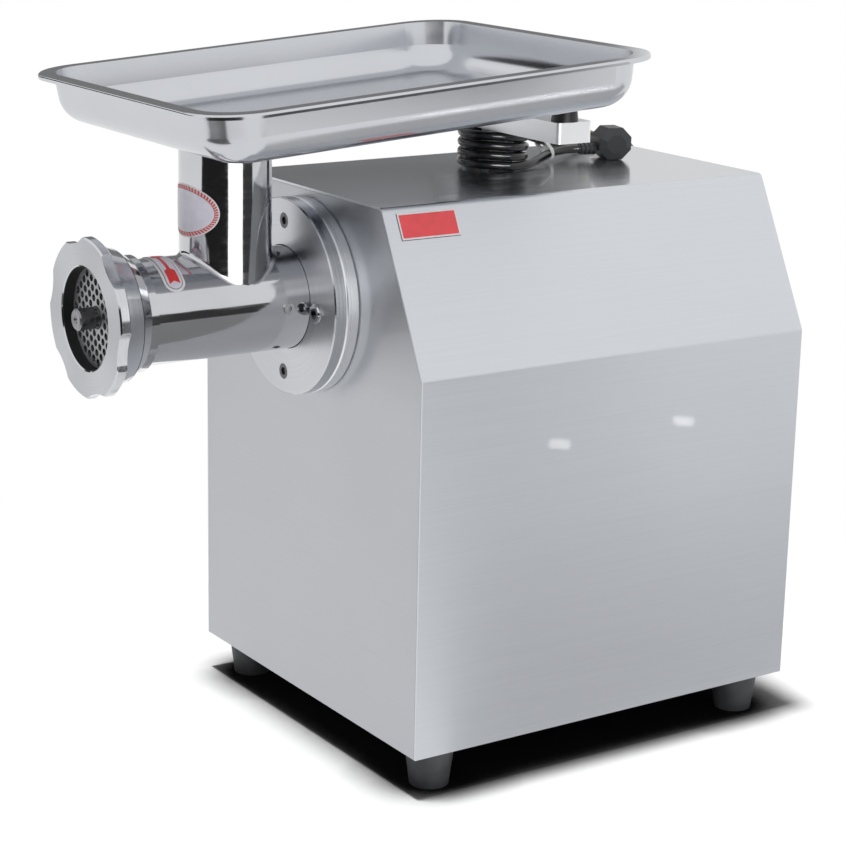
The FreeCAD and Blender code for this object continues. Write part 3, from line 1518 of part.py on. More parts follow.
def cord_routes():
    """The points of the lead, from the gland to the coil, and of the tail, from the coil to the plug."""
    straight = 16.0
    lead_end = coil_point(LEAD_LEAVES)
    lead_before = lead_end - coil_way(LEAD_LEAVES) * straight
    tail_start = coil_point(coil_end())
    tail_after = tail_start + coil_way(TAIL_LEAVES) * straight
    relief_before = relief_start() - plug_turn().multVec(Y_AXIS) * (straight + 2.0)
    return {
        "cord_lead": LEAD_ROUTE + [tuple(lead_before), tuple(lead_end)],
        "cord_tail": [tuple(spot) for spot in (tail_start, tail_after, relief_before, relief_start())],
    }


def mains_cord():
    """The cord: its lead from the gland, the coil on the top and the tail to the plug."""
    radius = size("cord_radius")
    coil = coil_wire()
    print("coil gap to itself", round(coil_self_gap(coil), 2), "length", round(coil.Length, 1))
    shaped("cord_coil", tube(coil, radius))
    for label, points in cord_routes().items():
        wire, tightest = route_wire(points)
        solid = tube(wire, radius)
        expected = math.pi * radius ** 2 * wire.Length
        print(label, "length", round(wire.Length, 1), "tightest bend", round(tightest, 1),
              "volume ratio", round(solid.Volume / expected, 3))
        shaped(label, solid)


# Plug
def plug_turn():
    """The plug lies with its cord side towards the coil."""
    return Rotation(Z_AXIS, PLUG_HEADING - 90.0)


def plug_centre():
    """The centre of the plug, resting on the top."""
    return Vector(-13.0, 257.0, size("top_high") + 0.3 + size("plug_tall") / 2)


def relief_start():
    """Where the tail enters the strain relief."""
    local = Vector(0, -size("plug_long") / 2 - size("relief_long"), -4.0)
    return plug_centre() + plug_turn().multVec(local)


def plug():
    """A moulded plug with a bevelled eight-sided body, a ribbed strain relief and three flat pins."""
    spot = FreeCAD.Placement(plug_centre(), plug_turn())
    half_long = size("plug_long") / 2
    half_tall = size("plug_tall") / 2
    corner = size("plug_corner")
    thick = size("plug_thick")
    bevel = size("plug_bevel")

    def section(across, inset):
        """The eight-sided outline at one depth of the body."""
        y = half_long - inset
        z = half_tall - inset
        cut_off = corner - inset * 0.5
        points = [(y, z - cut_off), (y - cut_off, z), (cut_off - y, z), (-y, z - cut_off),
                  (-y, cut_off - z), (cut_off - y, -z), (y - cut_off, -z), (y, cut_off - z)]
        spots = [Vector(across, *point) for point in points]
        return Part.makePolygon(spots + spots[:1])

    body = Part.makeLoft([
        section(-thick / 2, 2 * bevel),
        section(-thick / 2 + bevel, 0),
        section(thick / 2 - bevel, 0),
        section(thick / 2, 2 * bevel),
    ], True, True)
    ribs = 4
    pitch = size("relief_long") / ribs
    rib = size("relief_radius")
    relief = Part.makeCone(rib * 0.78, rib * 0.9, size("relief_long"), Vector(0, 0, 0), Y_AXIS)
    for index in range(ribs):
        relief = relief.fuse(Part.makeCylinder(rib, pitch * 0.5, Vector(0, pitch * (index + 0.4), 0), Y_AXIS))
    relief.translate(Vector(0, -half_long - size("relief_long"), -4.0))
    pins = []
    for across, high, lean in ((-7.0, 3.0, 30.0), (7.0, 3.0, -30.0), (0.0, -7.0, 90.0)):
        blade = Part.makeBox(size("pin_long"), size("pin_wide"), size("pin_thick"),
                             Vector(0, -size("pin_wide") / 2, -size("pin_thick") / 2))
        blade.rotate(Vector(), X_AXIS, lean + 90.0)
        blade.translate(Vector(-thick / 2 - size("pin_long"), across, high))
        pins.append(blade)
    for label, shape in (
            ("plug_body", body.fuse(relief).removeSplitter()),
            ("plug_pins", Part.makeCompound(pins))):
        shape.Placement = spot.multiply(shape.Placement)
        shaped(label, shape)


def cord_gland():
    """The gland that the lead leaves the rear panel through."""
    out = "housing_deep + gland_out"
    gland = revolved("gland_turn", [
        ("cord_radius + run_gap", "housing_deep - sheet_thick - 8"),
        ("gland_radius + 2.5", "housing_deep - sheet_thick - 8"),
        ("gland_radius + 2.5", "housing_deep - sheet_thick"),
        ("gland_radius", "housing_deep - sheet_thick"),
        ("gland_radius", "housing_deep"),
        ("gland_radius + 2.5", "housing_deep"),
        ("gland_radius + 2.5", "housing_deep + 3"),
        ("cord_radius + 1.6", out),
        ("0", out),
        ("0", f"{out} - 3"),
        ("cord_radius + run_gap", f"{out} - 3"),
    ])
    place(gland, "gland_side", "0", "gland_high")
    return node(gland, "cord_gland")


def cord_tie():
    """The white tie round the lead and the tail."""
    wide = size("tie_wide")
    thick = size("tie_thick")
    back = size("tie_back")
    room = size("cord_radius") + size("free_gap")
    wires = [route_wire(points)[0] for points in cord_routes().values()]
    spots = [min(wire.discretize(Distance=0.5), key=lambda spot: abs(spot.y - back)) for wire in wires]
    for spot in spots:
        spot.y = back

    def band(radius):
        """The slab that holds both strands with a given margin."""
        posts = [Part.makeCylinder(radius, wide, spot - Vector(0, wide / 2, 0), Y_AXIS) for spot in spots]
        side = (spots[1] - spots[0]).cross(Y_AXIS).normalize() * radius
        corners = [spots[0] + side, spots[1] + side, spots[1] - side, spots[0] - side]
        slab = Part.Face(Part.makePolygon(corners + corners[:1])).extrude(Vector(0, wide, 0))
        slab.translate(Vector(0, -wide / 2, 0))
        return slab.fuse(posts)

    ring = band(room + thick).cut(band(room))
    for wire in wires:
        ring = ring.cut(tube(wire, room))
    return shaped("cord_tie", ring.removeSplitter())


def export():
    """Check every object and write each sub-part to its own file."""
    doc.recompute()
    for thing in doc.Objects:
        if "Invalid" in thing.State or "Error" in thing.State:
            raise RuntimeError(f"{thing.Label} did not build: {thing.State}")
    os.makedirs("parts", exist_ok=True)
    for thing in NODES:
        shape = thing.Shape
        if shape.isNull() or not shape.isValid() or not shape.Solids:
            raise RuntimeError(f"{thing.Label} has no valid solid")
        shape.exportStep(f"parts/{thing.Label}.step")
    print(len(NODES), "parts")


def main():
    """Build every sub-part, then write the files."""
    for build in (
            wrap_cover, front_panel, rear_panel, base_plate, tie_rods, feet, tray_rest, bumpers, discs,
            lock_screw, head_body, head_pins, auger_bush, auger, auger_stud, knife, grinder_plate, ring_nut,
            tray, gears, shafts, gearbox, motor, motor_cradle, electrics, rocker_switch,
            cord_gland, mains_cord, plug, cord_tie):
        build()
    export()


main()
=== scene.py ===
import math

import bmesh
import bpy
from mathutils import Matrix, Vector

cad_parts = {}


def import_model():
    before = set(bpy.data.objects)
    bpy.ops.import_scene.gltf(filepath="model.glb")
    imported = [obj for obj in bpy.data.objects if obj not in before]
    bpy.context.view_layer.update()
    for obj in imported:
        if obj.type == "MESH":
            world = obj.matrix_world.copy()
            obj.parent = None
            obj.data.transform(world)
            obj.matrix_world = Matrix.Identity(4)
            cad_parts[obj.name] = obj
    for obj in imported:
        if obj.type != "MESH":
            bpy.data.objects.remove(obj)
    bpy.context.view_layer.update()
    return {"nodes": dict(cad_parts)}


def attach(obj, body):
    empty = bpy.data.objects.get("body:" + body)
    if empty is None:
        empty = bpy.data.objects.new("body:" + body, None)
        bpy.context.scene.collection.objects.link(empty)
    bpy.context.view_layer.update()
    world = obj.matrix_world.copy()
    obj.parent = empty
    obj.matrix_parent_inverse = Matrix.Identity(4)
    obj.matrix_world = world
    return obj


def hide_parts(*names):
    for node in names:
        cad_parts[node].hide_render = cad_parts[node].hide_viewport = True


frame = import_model()
NODES = frame["nodes"]

# Places in the part's frame, in metres
FRONT = -0.083
SIDE = 0.138
AXIS_HIGH = 0.306
MOTOR_HIGH = 0.166
THROAT_Y = FRONT - 0.061
THROAT_RADIUS = 0.0295
BARREL_RADIUS = 0.0337
SHOULDER_TOP = Vector((0.0875, 0.0, 0.376))
SHOULDER_FOOT = Vector((SIDE, 0.0, 0.276))
CORD_DIAMETER = 0.006


def shade(colour, factor):
    """A colour made lighter or darker."""
    return tuple(min(1.0, part * factor) for part in colour)


def grey(tone):
    """A grey for a colour socket."""
    return (tone, tone, tone, 1.0)


# Node helpers
class Nodes:
    """A material's node tree with short calls for the nodes that the materials share."""

    def __init__(self, name):
        self.material = bpy.data.materials.new(name)
        self.material.use_nodes = True
        self.tree = self.material.node_tree
        self.shader = self.tree.nodes["Principled BSDF"]

    def add(self, kind, **settings):
        """A node of a kind, with its settings."""
        node = self.tree.nodes.new(kind)
        for key, value in settings.items():
            setattr(node, key, value)
        return node

    def link(self, source, target):
        """A link between two sockets."""
        self.tree.links.new(source, target)

    def place(self, stretch=(1.0, 1.0, 1.0), move=(0.0, 0.0, 0.0)):
        """The object's own coordinates, stretched and moved."""
        where = self.add("ShaderNodeTexCoord")
        mapping = self.add("ShaderNodeMapping")
        mapping.inputs["Scale"].default_value = stretch
        mapping.inputs["Location"].default_value = move
        self.link(where.outputs["Object"], mapping.inputs["Vector"])
        return mapping.outputs["Vector"]

    def facing(self, axis):
        """One axis of the surface's direction."""
        where = self.add("ShaderNodeTexCoord")
        parts = self.add("ShaderNodeSeparateXYZ")
        self.link(where.outputs["Normal"], parts.inputs["Vector"])
        return parts.outputs[axis]

    def noise(self, vector, detail, roughness=0.55):
        """A noise that follows a vector."""
        noise = self.add("ShaderNodeTexNoise")
        noise.inputs["Scale"].default_value = 1.0
        noise.inputs["Detail"].default_value = detail
        noise.inputs["Roughness"].default_value = roughness
        self.link(vector, noise.inputs["Vector"])
        return noise.outputs["Fac"]

    def speckle(self, scale, detail, roughness=0.55):
        """A noise over the object that is equally fine in every direction."""
        return self.noise(self.place((scale, scale, scale)), detail, roughness)

    def spread(self, value, low, high, start=0.3, end=0.7):
        """A value mapped from one range to another."""
        spread = self.add("ShaderNodeMapRange")
        spread.inputs["From Min"].default_value = start
        spread.inputs["From Max"].default_value = end
        spread.inputs["To Min"].default_value = low
        spread.inputs["To Max"].default_value = high
        self.link(value, spread.inputs["Value"])
        return spread.outputs["Result"]

    def ramp(self, value, *stops):
        """A colour ramp through pairs of position and colour."""
        ramp = self.add("ShaderNodeValToRGB")
        elements = ramp.color_ramp.elements
        while len(elements) < len(stops):
            elements.new(0.5)
        for element, (position, colour) in zip(elements, stops):
            element.position = position
            element.color = (*colour, 1.0)
        self.link(value, ramp.inputs["Fac"])
        return ramp.outputs["Color"]

    def tint(self, value, colour, dark, light, start=0.3, end=0.7):
        """A colour that goes from a darker to a lighter shade as a value rises."""
        return self.ramp(value, (start, shade(colour, dark)), (end, shade(colour, light)))

    def math(self, operation, first, second=None):
        """An operation on one value or two, each a socket or a number."""
        node = self.add("ShaderNodeMath", operation=operation)
        for socket, value in zip(node.inputs, (first, second)):
            if isinstance(value, (int, float)):
                socket.default_value = value
            elif value is not None:
                self.link(value, socket)
        return node.outputs["Value"]

    def mix(self, factor, first, second):
        """A colour socket mixed with a plain colour by a factor."""
        mix = self.add("ShaderNodeMix", data_type="RGBA")
        self.link(factor, mix.inputs["Factor"])
        sockets = {socket.name: socket for socket in mix.inputs if socket.type == "RGBA"}
        self.link(first, sockets["A"])
        sockets["B"].default_value = (*second, 1.0)
        return next(socket for socket in mix.outputs if socket.type == "RGBA")

    def bump(self, height, strength, distance):
        """A bump on the shader's normal."""
        bump = self.add("ShaderNodeBump")
        bump.inputs["Strength"].default_value = strength
        bump.inputs["Distance"].default_value = distance
        self.link(height, bump.inputs["Height"])
        self.link(bump.outputs["Normal"], self.shader.inputs["Normal"])

    def set(self, **values):
        """Constant values on the shader's own sockets."""
        for name, value in values.items():
            self.shader.inputs[name.replace("_", " ")].default_value = value

    def feed(self, name, socket):
        """A socket that feeds one of the shader's inputs."""
        self.link(socket, self.shader.inputs[name])


# Materials
LEVEL = 0.9
RINGS_OUT = 900.0
RINGS_ALONG = 700.0
BORE_SHADE = 0.06
BORE_DULL = 0.4


def brushed(name, colour, stretch, rough, top_rough, streak):
    """Sheet steel brushed in one direction, with wipe marks, a smoother level top and a thin clear coat."""
    nodes = Nodes(name)
    lines = nodes.noise(nodes.place(stretch), detail=5.0, roughness=0.65)
    marks = nodes.speckle(6.0, detail=3.0)
    nodes.feed("Base Color", nodes.tint(lines, colour, dark=0.96, light=1.03, start=0.25, end=0.75))
    level = nodes.math("GREATER_THAN", nodes.facing("Z"), LEVEL)
    plain = nodes.spread(level, rough, top_rough, 0.0, 1.0)
    grain = nodes.math("ADD", plain, nodes.spread(lines, -0.04, 0.04))
    nodes.feed("Roughness", nodes.math("ADD", grain, nodes.spread(marks, -0.03, 0.03)))
    nodes.bump(lines, strength=0.05, distance=0.0001)
    nodes.set(Metallic=1.0, Anisotropic=0.75, Specular_Tint=grey(0.74))
    nodes.set(Coat_Weight=0.3, Coat_Roughness=0.03)
    tangent = nodes.add("ShaderNodeCombineXYZ")
    for axis, value in zip("XYZ", streak):
        tangent.inputs[axis].default_value = value
    nodes.feed("Tangent", tangent.outputs["Vector"])
    return nodes.material


def satin(name, colour, rough, grain, edge=1.0):
    """Pressed sheet with an even satin finish."""
    nodes = Nodes(name)
    fine = nodes.speckle(1600.0, detail=3.0)
    wide = nodes.speckle(9.0, detail=3.0)
    nodes.feed("Base Color", nodes.tint(wide, colour, dark=0.96, light=1.04))
    skin = nodes.spread(fine, rough - grain, rough + grain)
    nodes.feed("Roughness", nodes.math("ADD", skin, nodes.spread(wide, -0.02, 0.02)))
    nodes.bump(fine, strength=grain, distance=0.00001)
    nodes.set(Metallic=1.0, Specular_Tint=grey(edge))
    return nodes.material


def polished(name, colour, rough):
    """A casting ground and polished by hand, so its surface waves a little."""
    nodes = Nodes(name)
    waves = nodes.noise(nodes.place((26.0, 14.0, 26.0)), detail=2.0)
    lines = nodes.noise(nodes.place((500.0, 30.0, 500.0)), detail=3.0)
    nodes.feed("Base Color", nodes.tint(waves, colour, dark=0.95, light=1.05))
    nodes.feed("Roughness", nodes.spread(lines, rough - 0.03, rough + 0.05))
    height = nodes.math("ADD", waves, nodes.math("MULTIPLY", lines, 0.02))
    nodes.bump(height, strength=0.35, distance=0.0008)
    nodes.set(Metallic=1.0)
    return nodes.material


def turned(name, colour, rough, face_rough, bore=0.0):
    """A piece turned about the head's axis, with fine rings, a matte face and a dull, dark bore."""
    nodes = Nodes(name)
    spot = nodes.add("ShaderNodeSeparateXYZ")
    nodes.link(nodes.place(move=(0.0, 0.0, -AXIS_HIGH)), spot.inputs["Vector"])
    squares = [nodes.math("MULTIPLY", spot.outputs[axis], spot.outputs[axis]) for axis in "XZ"]
    radius = nodes.math("SQRT", nodes.math("ADD", *squares))
    rings = nodes.add("ShaderNodeCombineXYZ")
    nodes.link(nodes.math("MULTIPLY", radius, RINGS_OUT), rings.inputs["X"])
    nodes.link(nodes.math("MULTIPLY", spot.outputs["Y"], RINGS_ALONG), rings.inputs["Y"])
    lines = nodes.noise(rings.outputs["Vector"], detail=4.0)
    flat = nodes.math("GREATER_THAN", nodes.math("ABSOLUTE", nodes.facing("Y")), LEVEL)
    inside = nodes.math("LESS_THAN", radius, bore)
    bright = nodes.tint(lines, colour, dark=0.94, light=1.05)
    nodes.feed("Base Color", nodes.mix(inside, bright, shade(colour, BORE_SHADE)))
    plain = nodes.spread(flat, rough, face_rough, 0.0, 1.0)
    dulled = nodes.math("ADD", plain, nodes.math("MULTIPLY", inside, BORE_DULL))
    nodes.feed("Roughness", nodes.math("ADD", dulled, nodes.spread(lines, -0.04, 0.04)))
    nodes.bump(lines, strength=0.1, distance=0.0002)
    nodes.set(Metallic=1.0, Anisotropic=0.7)
    nodes.feed("Tangent", across_rings(nodes, spot))
    return nodes.material


def across_rings(nodes, spot):
    """The direction that lies in the surface, across the rings of a turned piece."""
    around = nodes.add("ShaderNodeCombineXYZ")
    nodes.link(spot.outputs["Z"], around.inputs["X"])
    nodes.link(nodes.math("MULTIPLY", spot.outputs["X"], -1.0), around.inputs["Z"])
    where = nodes.add("ShaderNodeTexCoord")
    cross = nodes.add("ShaderNodeVectorMath", operation="CROSS_PRODUCT")
    nodes.link(where.outputs["Normal"], cross.inputs[0])
    nodes.link(around.outputs["Vector"], cross.inputs[1])
    turn = nodes.add("ShaderNodeVectorTransform", vector_type="VECTOR")
    turn.convert_from = "OBJECT"
    turn.convert_to = "WORLD"
    nodes.link(cross.outputs["Vector"], turn.inputs["Vector"])
    return turn.outputs["Vector"]


def machined(name, colour, rough, scale=220.0):
    """Plain steel or brass parts with tool marks and darker spots of oil."""
    nodes = Nodes(name)
    lines = nodes.noise(nodes.place((scale, scale * 2.0, scale)), detail=4.0)
    oil = nodes.speckle(40.0, detail=3.0)
    nodes.feed("Base Color", nodes.tint(oil, colour, dark=0.72, light=1.0, start=0.35, end=0.6))
    nodes.feed("Roughness", nodes.spread(lines, rough - 0.08, rough + 0.08))
    nodes.bump(lines, strength=0.15, distance=0.0002)
    nodes.set(Metallic=1.0)
    return nodes.material


def cast(name, colour, rough):
    """A casting with a fine sandy skin."""
    nodes = Nodes(name)
    sand = nodes.speckle(420.0, detail=5.0, roughness=0.7)
    wide = nodes.speckle(22.0, detail=3.0)
    nodes.feed("Base Color", nodes.tint(wide, colour, dark=0.82, light=1.06))
    nodes.feed("Roughness", nodes.spread(sand, rough - 0.08, rough + 0.1))
    nodes.bump(sand, strength=0.4, distance=0.0004)
    nodes.set(Metallic=1.0)
    return nodes.material


def laminated(name, colour):
    """A stack of thin iron sheets along Y."""
    nodes = Nodes(name)
    sheets = nodes.add("ShaderNodeTexWave", wave_type="BANDS", bands_direction="Y")
    sheets.inputs["Scale"].default_value = 320.0
    sheets.inputs["Distortion"].default_value = 0.4
    nodes.link(nodes.place(), sheets.inputs["Vector"])
    bands = sheets.outputs["Fac"]
    nodes.feed("Base Color", nodes.tint(bands, colour, dark=0.55, light=1.0, start=0.2, end=0.6))
    nodes.feed("Roughness", nodes.spread(bands, 0.6, 0.4, 0.0, 1.0))
    nodes.bump(bands, strength=0.3, distance=0.0003)
    nodes.set(Metallic=0.9)
    return nodes.material


def wound(name, colour):
    """Varnished copper wire in a bundle, its turns running round the motor's axis."""
    nodes = Nodes(name)
    wires = nodes.speckle(260.0, detail=2.0)
    strands = nodes.add("ShaderNodeTexWave", wave_type="RINGS", rings_direction="Y")
    strands.inputs["Scale"].default_value = 220.0
    strands.inputs["Distortion"].default_value = 2.5
    nodes.link(nodes.place(move=(0.0, 0.0, -MOTOR_HIGH)), strands.inputs["Vector"])
    turns = strands.outputs["Fac"]
    nodes.feed("Base Color", nodes.tint(turns, colour, dark=0.45, light=1.0, start=0.1))
    nodes.feed("Roughness", nodes.spread(wires, 0.25, 0.4))
    nodes.bump(turns, strength=0.6, distance=0.0008)
    nodes.set(Metallic=0.85, Coat_Weight=0.4, Coat_Roughness=0.2)
    return nodes.material


def rubber(name, colour, rough):
    """Moulded rubber with a fine skin and a little dust."""
    nodes = Nodes(name)
    skin = nodes.speckle(500.0, detail=4.0)
    dust = nodes.speckle(60.0, detail=4.0)
    nodes.feed("Base Color", nodes.tint(dust, colour, dark=0.85, light=1.5, start=0.35, end=0.75))
    nodes.feed("Roughness", nodes.spread(skin, rough - 0.06, rough + 0.08))
    nodes.bump(skin, strength=0.2, distance=0.0002)
    nodes.set(Specular_IOR_Level=0.45)
    return nodes.material


def plastic(name, colour, rough, scale=900.0, grain=0.15):
    """Moulded plastic with a fine spark-eroded grain."""
    nodes = Nodes(name)
    skin = nodes.speckle(scale, detail=3.0)
    tone = nodes.speckle(35.0, detail=2.0)
    nodes.feed("Base Color", nodes.tint(tone, colour, dark=0.9, light=1.1))
    nodes.feed("Roughness", nodes.spread(skin, rough - 0.05, rough + 0.05))
    nodes.bump(skin, strength=grain, distance=0.0001)
    return nodes.material


def printed(name, colour):
    """Printed film with a thin clear coat and slight unevenness in the ink."""
    nodes = Nodes(name)
    ink = nodes.speckle(160.0, detail=4.0)
    nodes.feed("Base Color", nodes.tint(ink, colour, dark=0.94, light=1.05))
    nodes.feed("Roughness", nodes.spread(ink, 0.29, 0.41))
    nodes.set(Coat_Weight=0.3, Coat_Roughness=0.15)
    return nodes.material


STEEL = (0.664, 0.686, 0.725)
# A darker copy of the housing's brushed steel for the front and rear panels and the base plate: painted
# shade on the front panel
PANEL_PAINTED_SHADE = (0.52, 0.534, 0.562)
SHEET_LINES = (800.0, 9.0, 800.0)
PANEL_LINES = (9.0, 800.0, 800.0)
SHEET_STREAK = (-0.7, 0.0, 0.7)
PANEL_STREAK = (0.0, 0.0, 1.0)
NUT_BORE = 0.0326

# Each finish and its material
FINISHES = {
    "wrap": brushed("wrap_brushed", STEEL, SHEET_LINES, rough=0.38, top_rough=0.2, streak=SHEET_STREAK),
    "panel": brushed("panel_brushed_painted_shade", PANEL_PAINTED_SHADE, PANEL_LINES, rough=0.38, top_rough=0.38, streak=PANEL_STREAK),
    "bar": satin("bar_satin", (0.86, 0.87, 0.89), rough=0.42, grain=0.03),
    "tray": satin("tray_satin", (0.6, 0.615, 0.645), rough=0.18, grain=0.004, edge=0.92),
    "head": polished("head_polished", (0.56, 0.566, 0.586), rough=0.08),
    "nut": turned("nut_turned", (0.6, 0.61, 0.635), rough=0.14, face_rough=0.5, bore=NUT_BORE),
    "disc": turned("disc_turned", (0.57, 0.58, 0.605), rough=0.22, face_rough=0.34),
    # The rear disc wears a much lighter copy of the front disc's turned steel: painted highlight on the
    # rear disc
    "rear_disc": turned("rear_disc_painted_highlight", (0.84, 0.85, 0.87), rough=0.3, face_rough=0.34),
    "plate": turned("plate_ground", (0.4, 0.405, 0.42), rough=0.34, face_rough=0.42),
    "stud": machined("stud_oiled", (0.3, 0.3, 0.31), rough=0.3),
    "steel": machined("plain_machined", (0.5, 0.505, 0.52), rough=0.34),
    "zinc": machined("zinc_plated", (0.6, 0.61, 0.62), rough=0.3, scale=400.0),
    "screw": machined("screw_oxide", (0.14, 0.14, 0.15), rough=0.36, scale=400.0),
    "tinned": cast("tinned_casting", (0.52, 0.525, 0.54), rough=0.36),
    "aluminium": cast("aluminium_casting", (0.56, 0.57, 0.58), rough=0.45),
    "core": laminated("core_sheets", (0.3, 0.3, 0.32)),
    "copper": wound("copper_winding", (0.62, 0.27, 0.11)),
    "bronze": machined("bronze_bush", (0.55, 0.36, 0.16), rough=0.3),
    "brass": machined("brass_pin", (0.72, 0.58, 0.3), rough=0.22, scale=350.0),
    "foot": rubber("foot_rubber", (0.05, 0.052, 0.056), rough=0.5),
    "rubber": rubber("black_rubber_skin", (0.012, 0.012, 0.013), rough=0.36),
    "cord": plastic("cord_sheath", (0.004, 0.004, 0.0045), rough=0.16, scale=700.0, grain=0.05),
    "black": plastic("black_moulding", (0.015, 0.015, 0.016), rough=0.42),
    "rocker": plastic("rocker_gloss", (0.012, 0.012, 0.013), rough=0.2),
    "plug": plastic("plug_moulding", (0.03, 0.031, 0.034), rough=0.4, scale=700.0, grain=0.25),
    "white": plastic("white_nylon", (0.8, 0.8, 0.79), rough=0.35),
}

# The CAD nodes that wear each finish
NODE_FINISHES = {
    "wrap": ["wrap_cover"],
    "panel": ["front_panel", "rear_panel", "base_plate"],
    "bar": ["tray_rest_bar", "tray_rest_post"],
    "tray": ["tray"],
    "head": ["head_body", "lock_screw"],
    "nut": ["ring_nut"],
    "disc": ["front_disc"],
    "rear_disc": ["rear_disc"],
    "plate": ["grinder_plate"],
    "stud": ["auger_stud"],
    "steel": ["knife", "head_pins", "output_shaft", "countershaft", "motor_shaft", "output_gear",
              "countershaft_gear", "output_bearings", "countershaft_bearings", "motor_bearings"],
    "zinc": ["tie_rods", "rear_panel_screws", "foot_screws", "gearbox_bolts", "motor_cradle",
             "capacitor_clip"],
    "screw": ["disc_bolts"],
    "tinned": ["auger"],
    "aluminium": ["gearbox_case", "gearbox_cover", "motor_shell", "motor_front_bell",
                  "motor_rear_bell", "run_capacitor"],
    "core": ["stator_core", "rotor_core"],
    "copper": ["stator_windings"],
    "bronze": ["auger_bush"],
    "brass": ["plug_pins"],
    "foot": ["foot_front_right", "foot_front_left", "foot_rear_right", "foot_rear_left"],
    "rubber": ["bumper_right", "bumper_left", "shaft_seal", "cord_gland"],
    "cord": ["cord_coil", "cord_lead", "cord_tail"],
    "black": ["switch_body", "cooling_fan"],
    "rocker": ["switch_rocker"],
    "plug": ["plug_body"],
    "white": ["cord_tie", "terminal_block"],
}


def dress_nodes():
    """Each CAD node gets its finish."""
    for finish, names in NODE_FINISHES.items():
        for name in names:
            materials = NODES[name].data.materials
            materials.clear()
            materials.append(FINISHES[finish])


# Mains cord, with its places measured back from the housing's front
LEAD_ROUTE = [
    (-0.098, 0.332, 0.302),
    (-0.098, 0.350, 0.302),
    (-0.098, 0.363, 0.316),
    (-0.098, 0.363, 0.341),
    (-0.097, 0.346, 0.364),
    (-0.086, 0.319, 0.3815),
    (-0.066, 0.282, 0.3798),
    (-0.046, 0.247, 0.3805),
    (-0.0265, 0.210, 0.3885),
    (-0.0353, 0.1797, 0.40025),
]
TAIL_ROUTE = [
    (0.00029, 0.1781, 0.3791),
    (-0.0235, 0.2150, 0.3835),
    (-0.0191, 0.2325, 0.3835),
]
COIL_X = -0.0184
COIL_Y = 0.1586
COIL_RADIUS = 0.0218
COIL_PITCH = 0.0066
COIL_LOW = 0.3791
COIL_START = 165.0
COIL_END = 1450.0
COIL_LEVEL = 165.0
COIL_STEP = 22.5
SPLINE_CUT = 0.75


def coil_drop(angle):
    """How far the coil has come down: each turn lies level, then drops one pitch."""
    turns, rest = divmod(angle - COIL_START, 360.0)
    step = max(0.0, rest - COIL_LEVEL) / (360.0 - COIL_LEVEL)
    return COIL_PITCH * (turns + step)


def coil_points():
    """The coil's turns, as points a little outside its line, which the spline cuts inside of."""
    outside = COIL_RADIUS / math.cos(math.radians(COIL_STEP / 2)) ** SPLINE_CUT
    points = []
    angle = COIL_START
    while angle < COIL_END:
        around = math.radians(angle)
        high = COIL_LOW + coil_drop(COIL_END) - coil_drop(angle)
        points.append((COIL_X + outside * math.cos(around), COIL_Y + outside * math.sin(around), high))
        angle += COIL_STEP
    return points


def cord_curve(points):
    """A smooth round line along points."""
    curve = bpy.data.curves.new("mains_cord", "CURVE")
    curve.dimensions = "3D"
    spline = curve.splines.new("NURBS")
    spline.points.add(len(points) - 1)
    for point, (x, y, z) in zip(spline.points, points):
        point.co = (x, y + FRONT, z, 1.0)
    spline.order_u = 3
    spline.use_endpoint_u = True
    spline.resolution_u = 8
    curve.bevel_depth = CORD_DIAMETER / 2
    curve.bevel_resolution = 6
    curve.use_fill_caps = True
    curve.materials.append(FINISHES["cord"])
    return curve


def mains_cord():
    """The cord as one line: its lead from the gland, the coil on the top and the tail to the plug."""
    cord = bpy.data.objects.new("mains_cord", cord_curve(LEAD_ROUTE + coil_points() + TAIL_ROUTE))
    bpy.context.collection.objects.link(cord)
    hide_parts("cord_lead", "cord_coil", "cord_tail")
    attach(cord, "housing")
    return cord


# Labels, in metres, with the heights of their layers above the surface
FILM_THICK = 0.00015
LAYERS = (0.00005, 0.00022, 0.00039, 0.00056)
FINE_STRIPS = 0.0008
WIDE_STRIPS = 0.01
OVAL_HIGH = 0.3685
OVAL_WIDE = 0.0282
OVAL_TALL = 0.0168
OVAL_POINTS = 96
OVAL_LINE_INSET = 0.003
OVAL_FIELD_INSET = 0.0034
HATCHES = 60
HATCH_WIDTH = math.pi / HATCHES * 1.3
HATCH_LEAN = 0.05
HATCH_OUTER_INSET = 0.0008
HATCH_INNER_INSET = 0.0031
ARROW_TURN = math.radians(72.0)
ARROW_BACK = FRONT - 0.1105
ARROW_LONG = 0.024
ARROW_WIDE = 0.0072
ARROW_END_STEPS = 24
ARROW_LINE_INSET = 0.0016
ARROW_FIELD_INSET = 0.002
ARROW_NOTCH = (0.0165, 0.0)
ARROW_TIP = (-0.018, 0.0)
ARROW_SIDE = [(0.0185, 0.0036), (0.0085, 0.0036), (0.0065, 0.0011), (-0.009, 0.0011), (-0.009, 0.0038)]
LABEL_LEFT = 0.0098
LABEL_RIGHT = 0.0535
LABEL_TOP = 0.0046
LABEL_BOTTOM = 0.0218
LABEL_BORDER = 0.0011
# Width of the painted shadow that peeks out past the shoulder label's edge
LABEL_PAINTED_SHADOW = 0.0004


def flat_film(outline, strips):
    """A thin flat film, cut into strips so that it can bend."""
    mesh = bmesh.new()
    mesh.faces.new([mesh.verts.new((u, v, 0.0)) for u, v in outline])
    left = min(u for u, v in outline)
    width = max(u for u, v in outline) - left
    cuts = int(width / strips)
    for index in range(1, cuts):
        at = left + index * width / cuts
        geometry = mesh.verts[:] + mesh.edges[:] + mesh.faces[:]
        bmesh.ops.bisect_plane(mesh, geom=geometry, plane_co=(at, 0, 0), plane_no=(1, 0, 0))
    solid = bmesh.ops.extrude_face_region(mesh, geom=mesh.faces[:])
    for vert in solid["geom"]:
        if isinstance(vert, bmesh.types.BMVert):
            vert.co.z = FILM_THICK
    return mesh


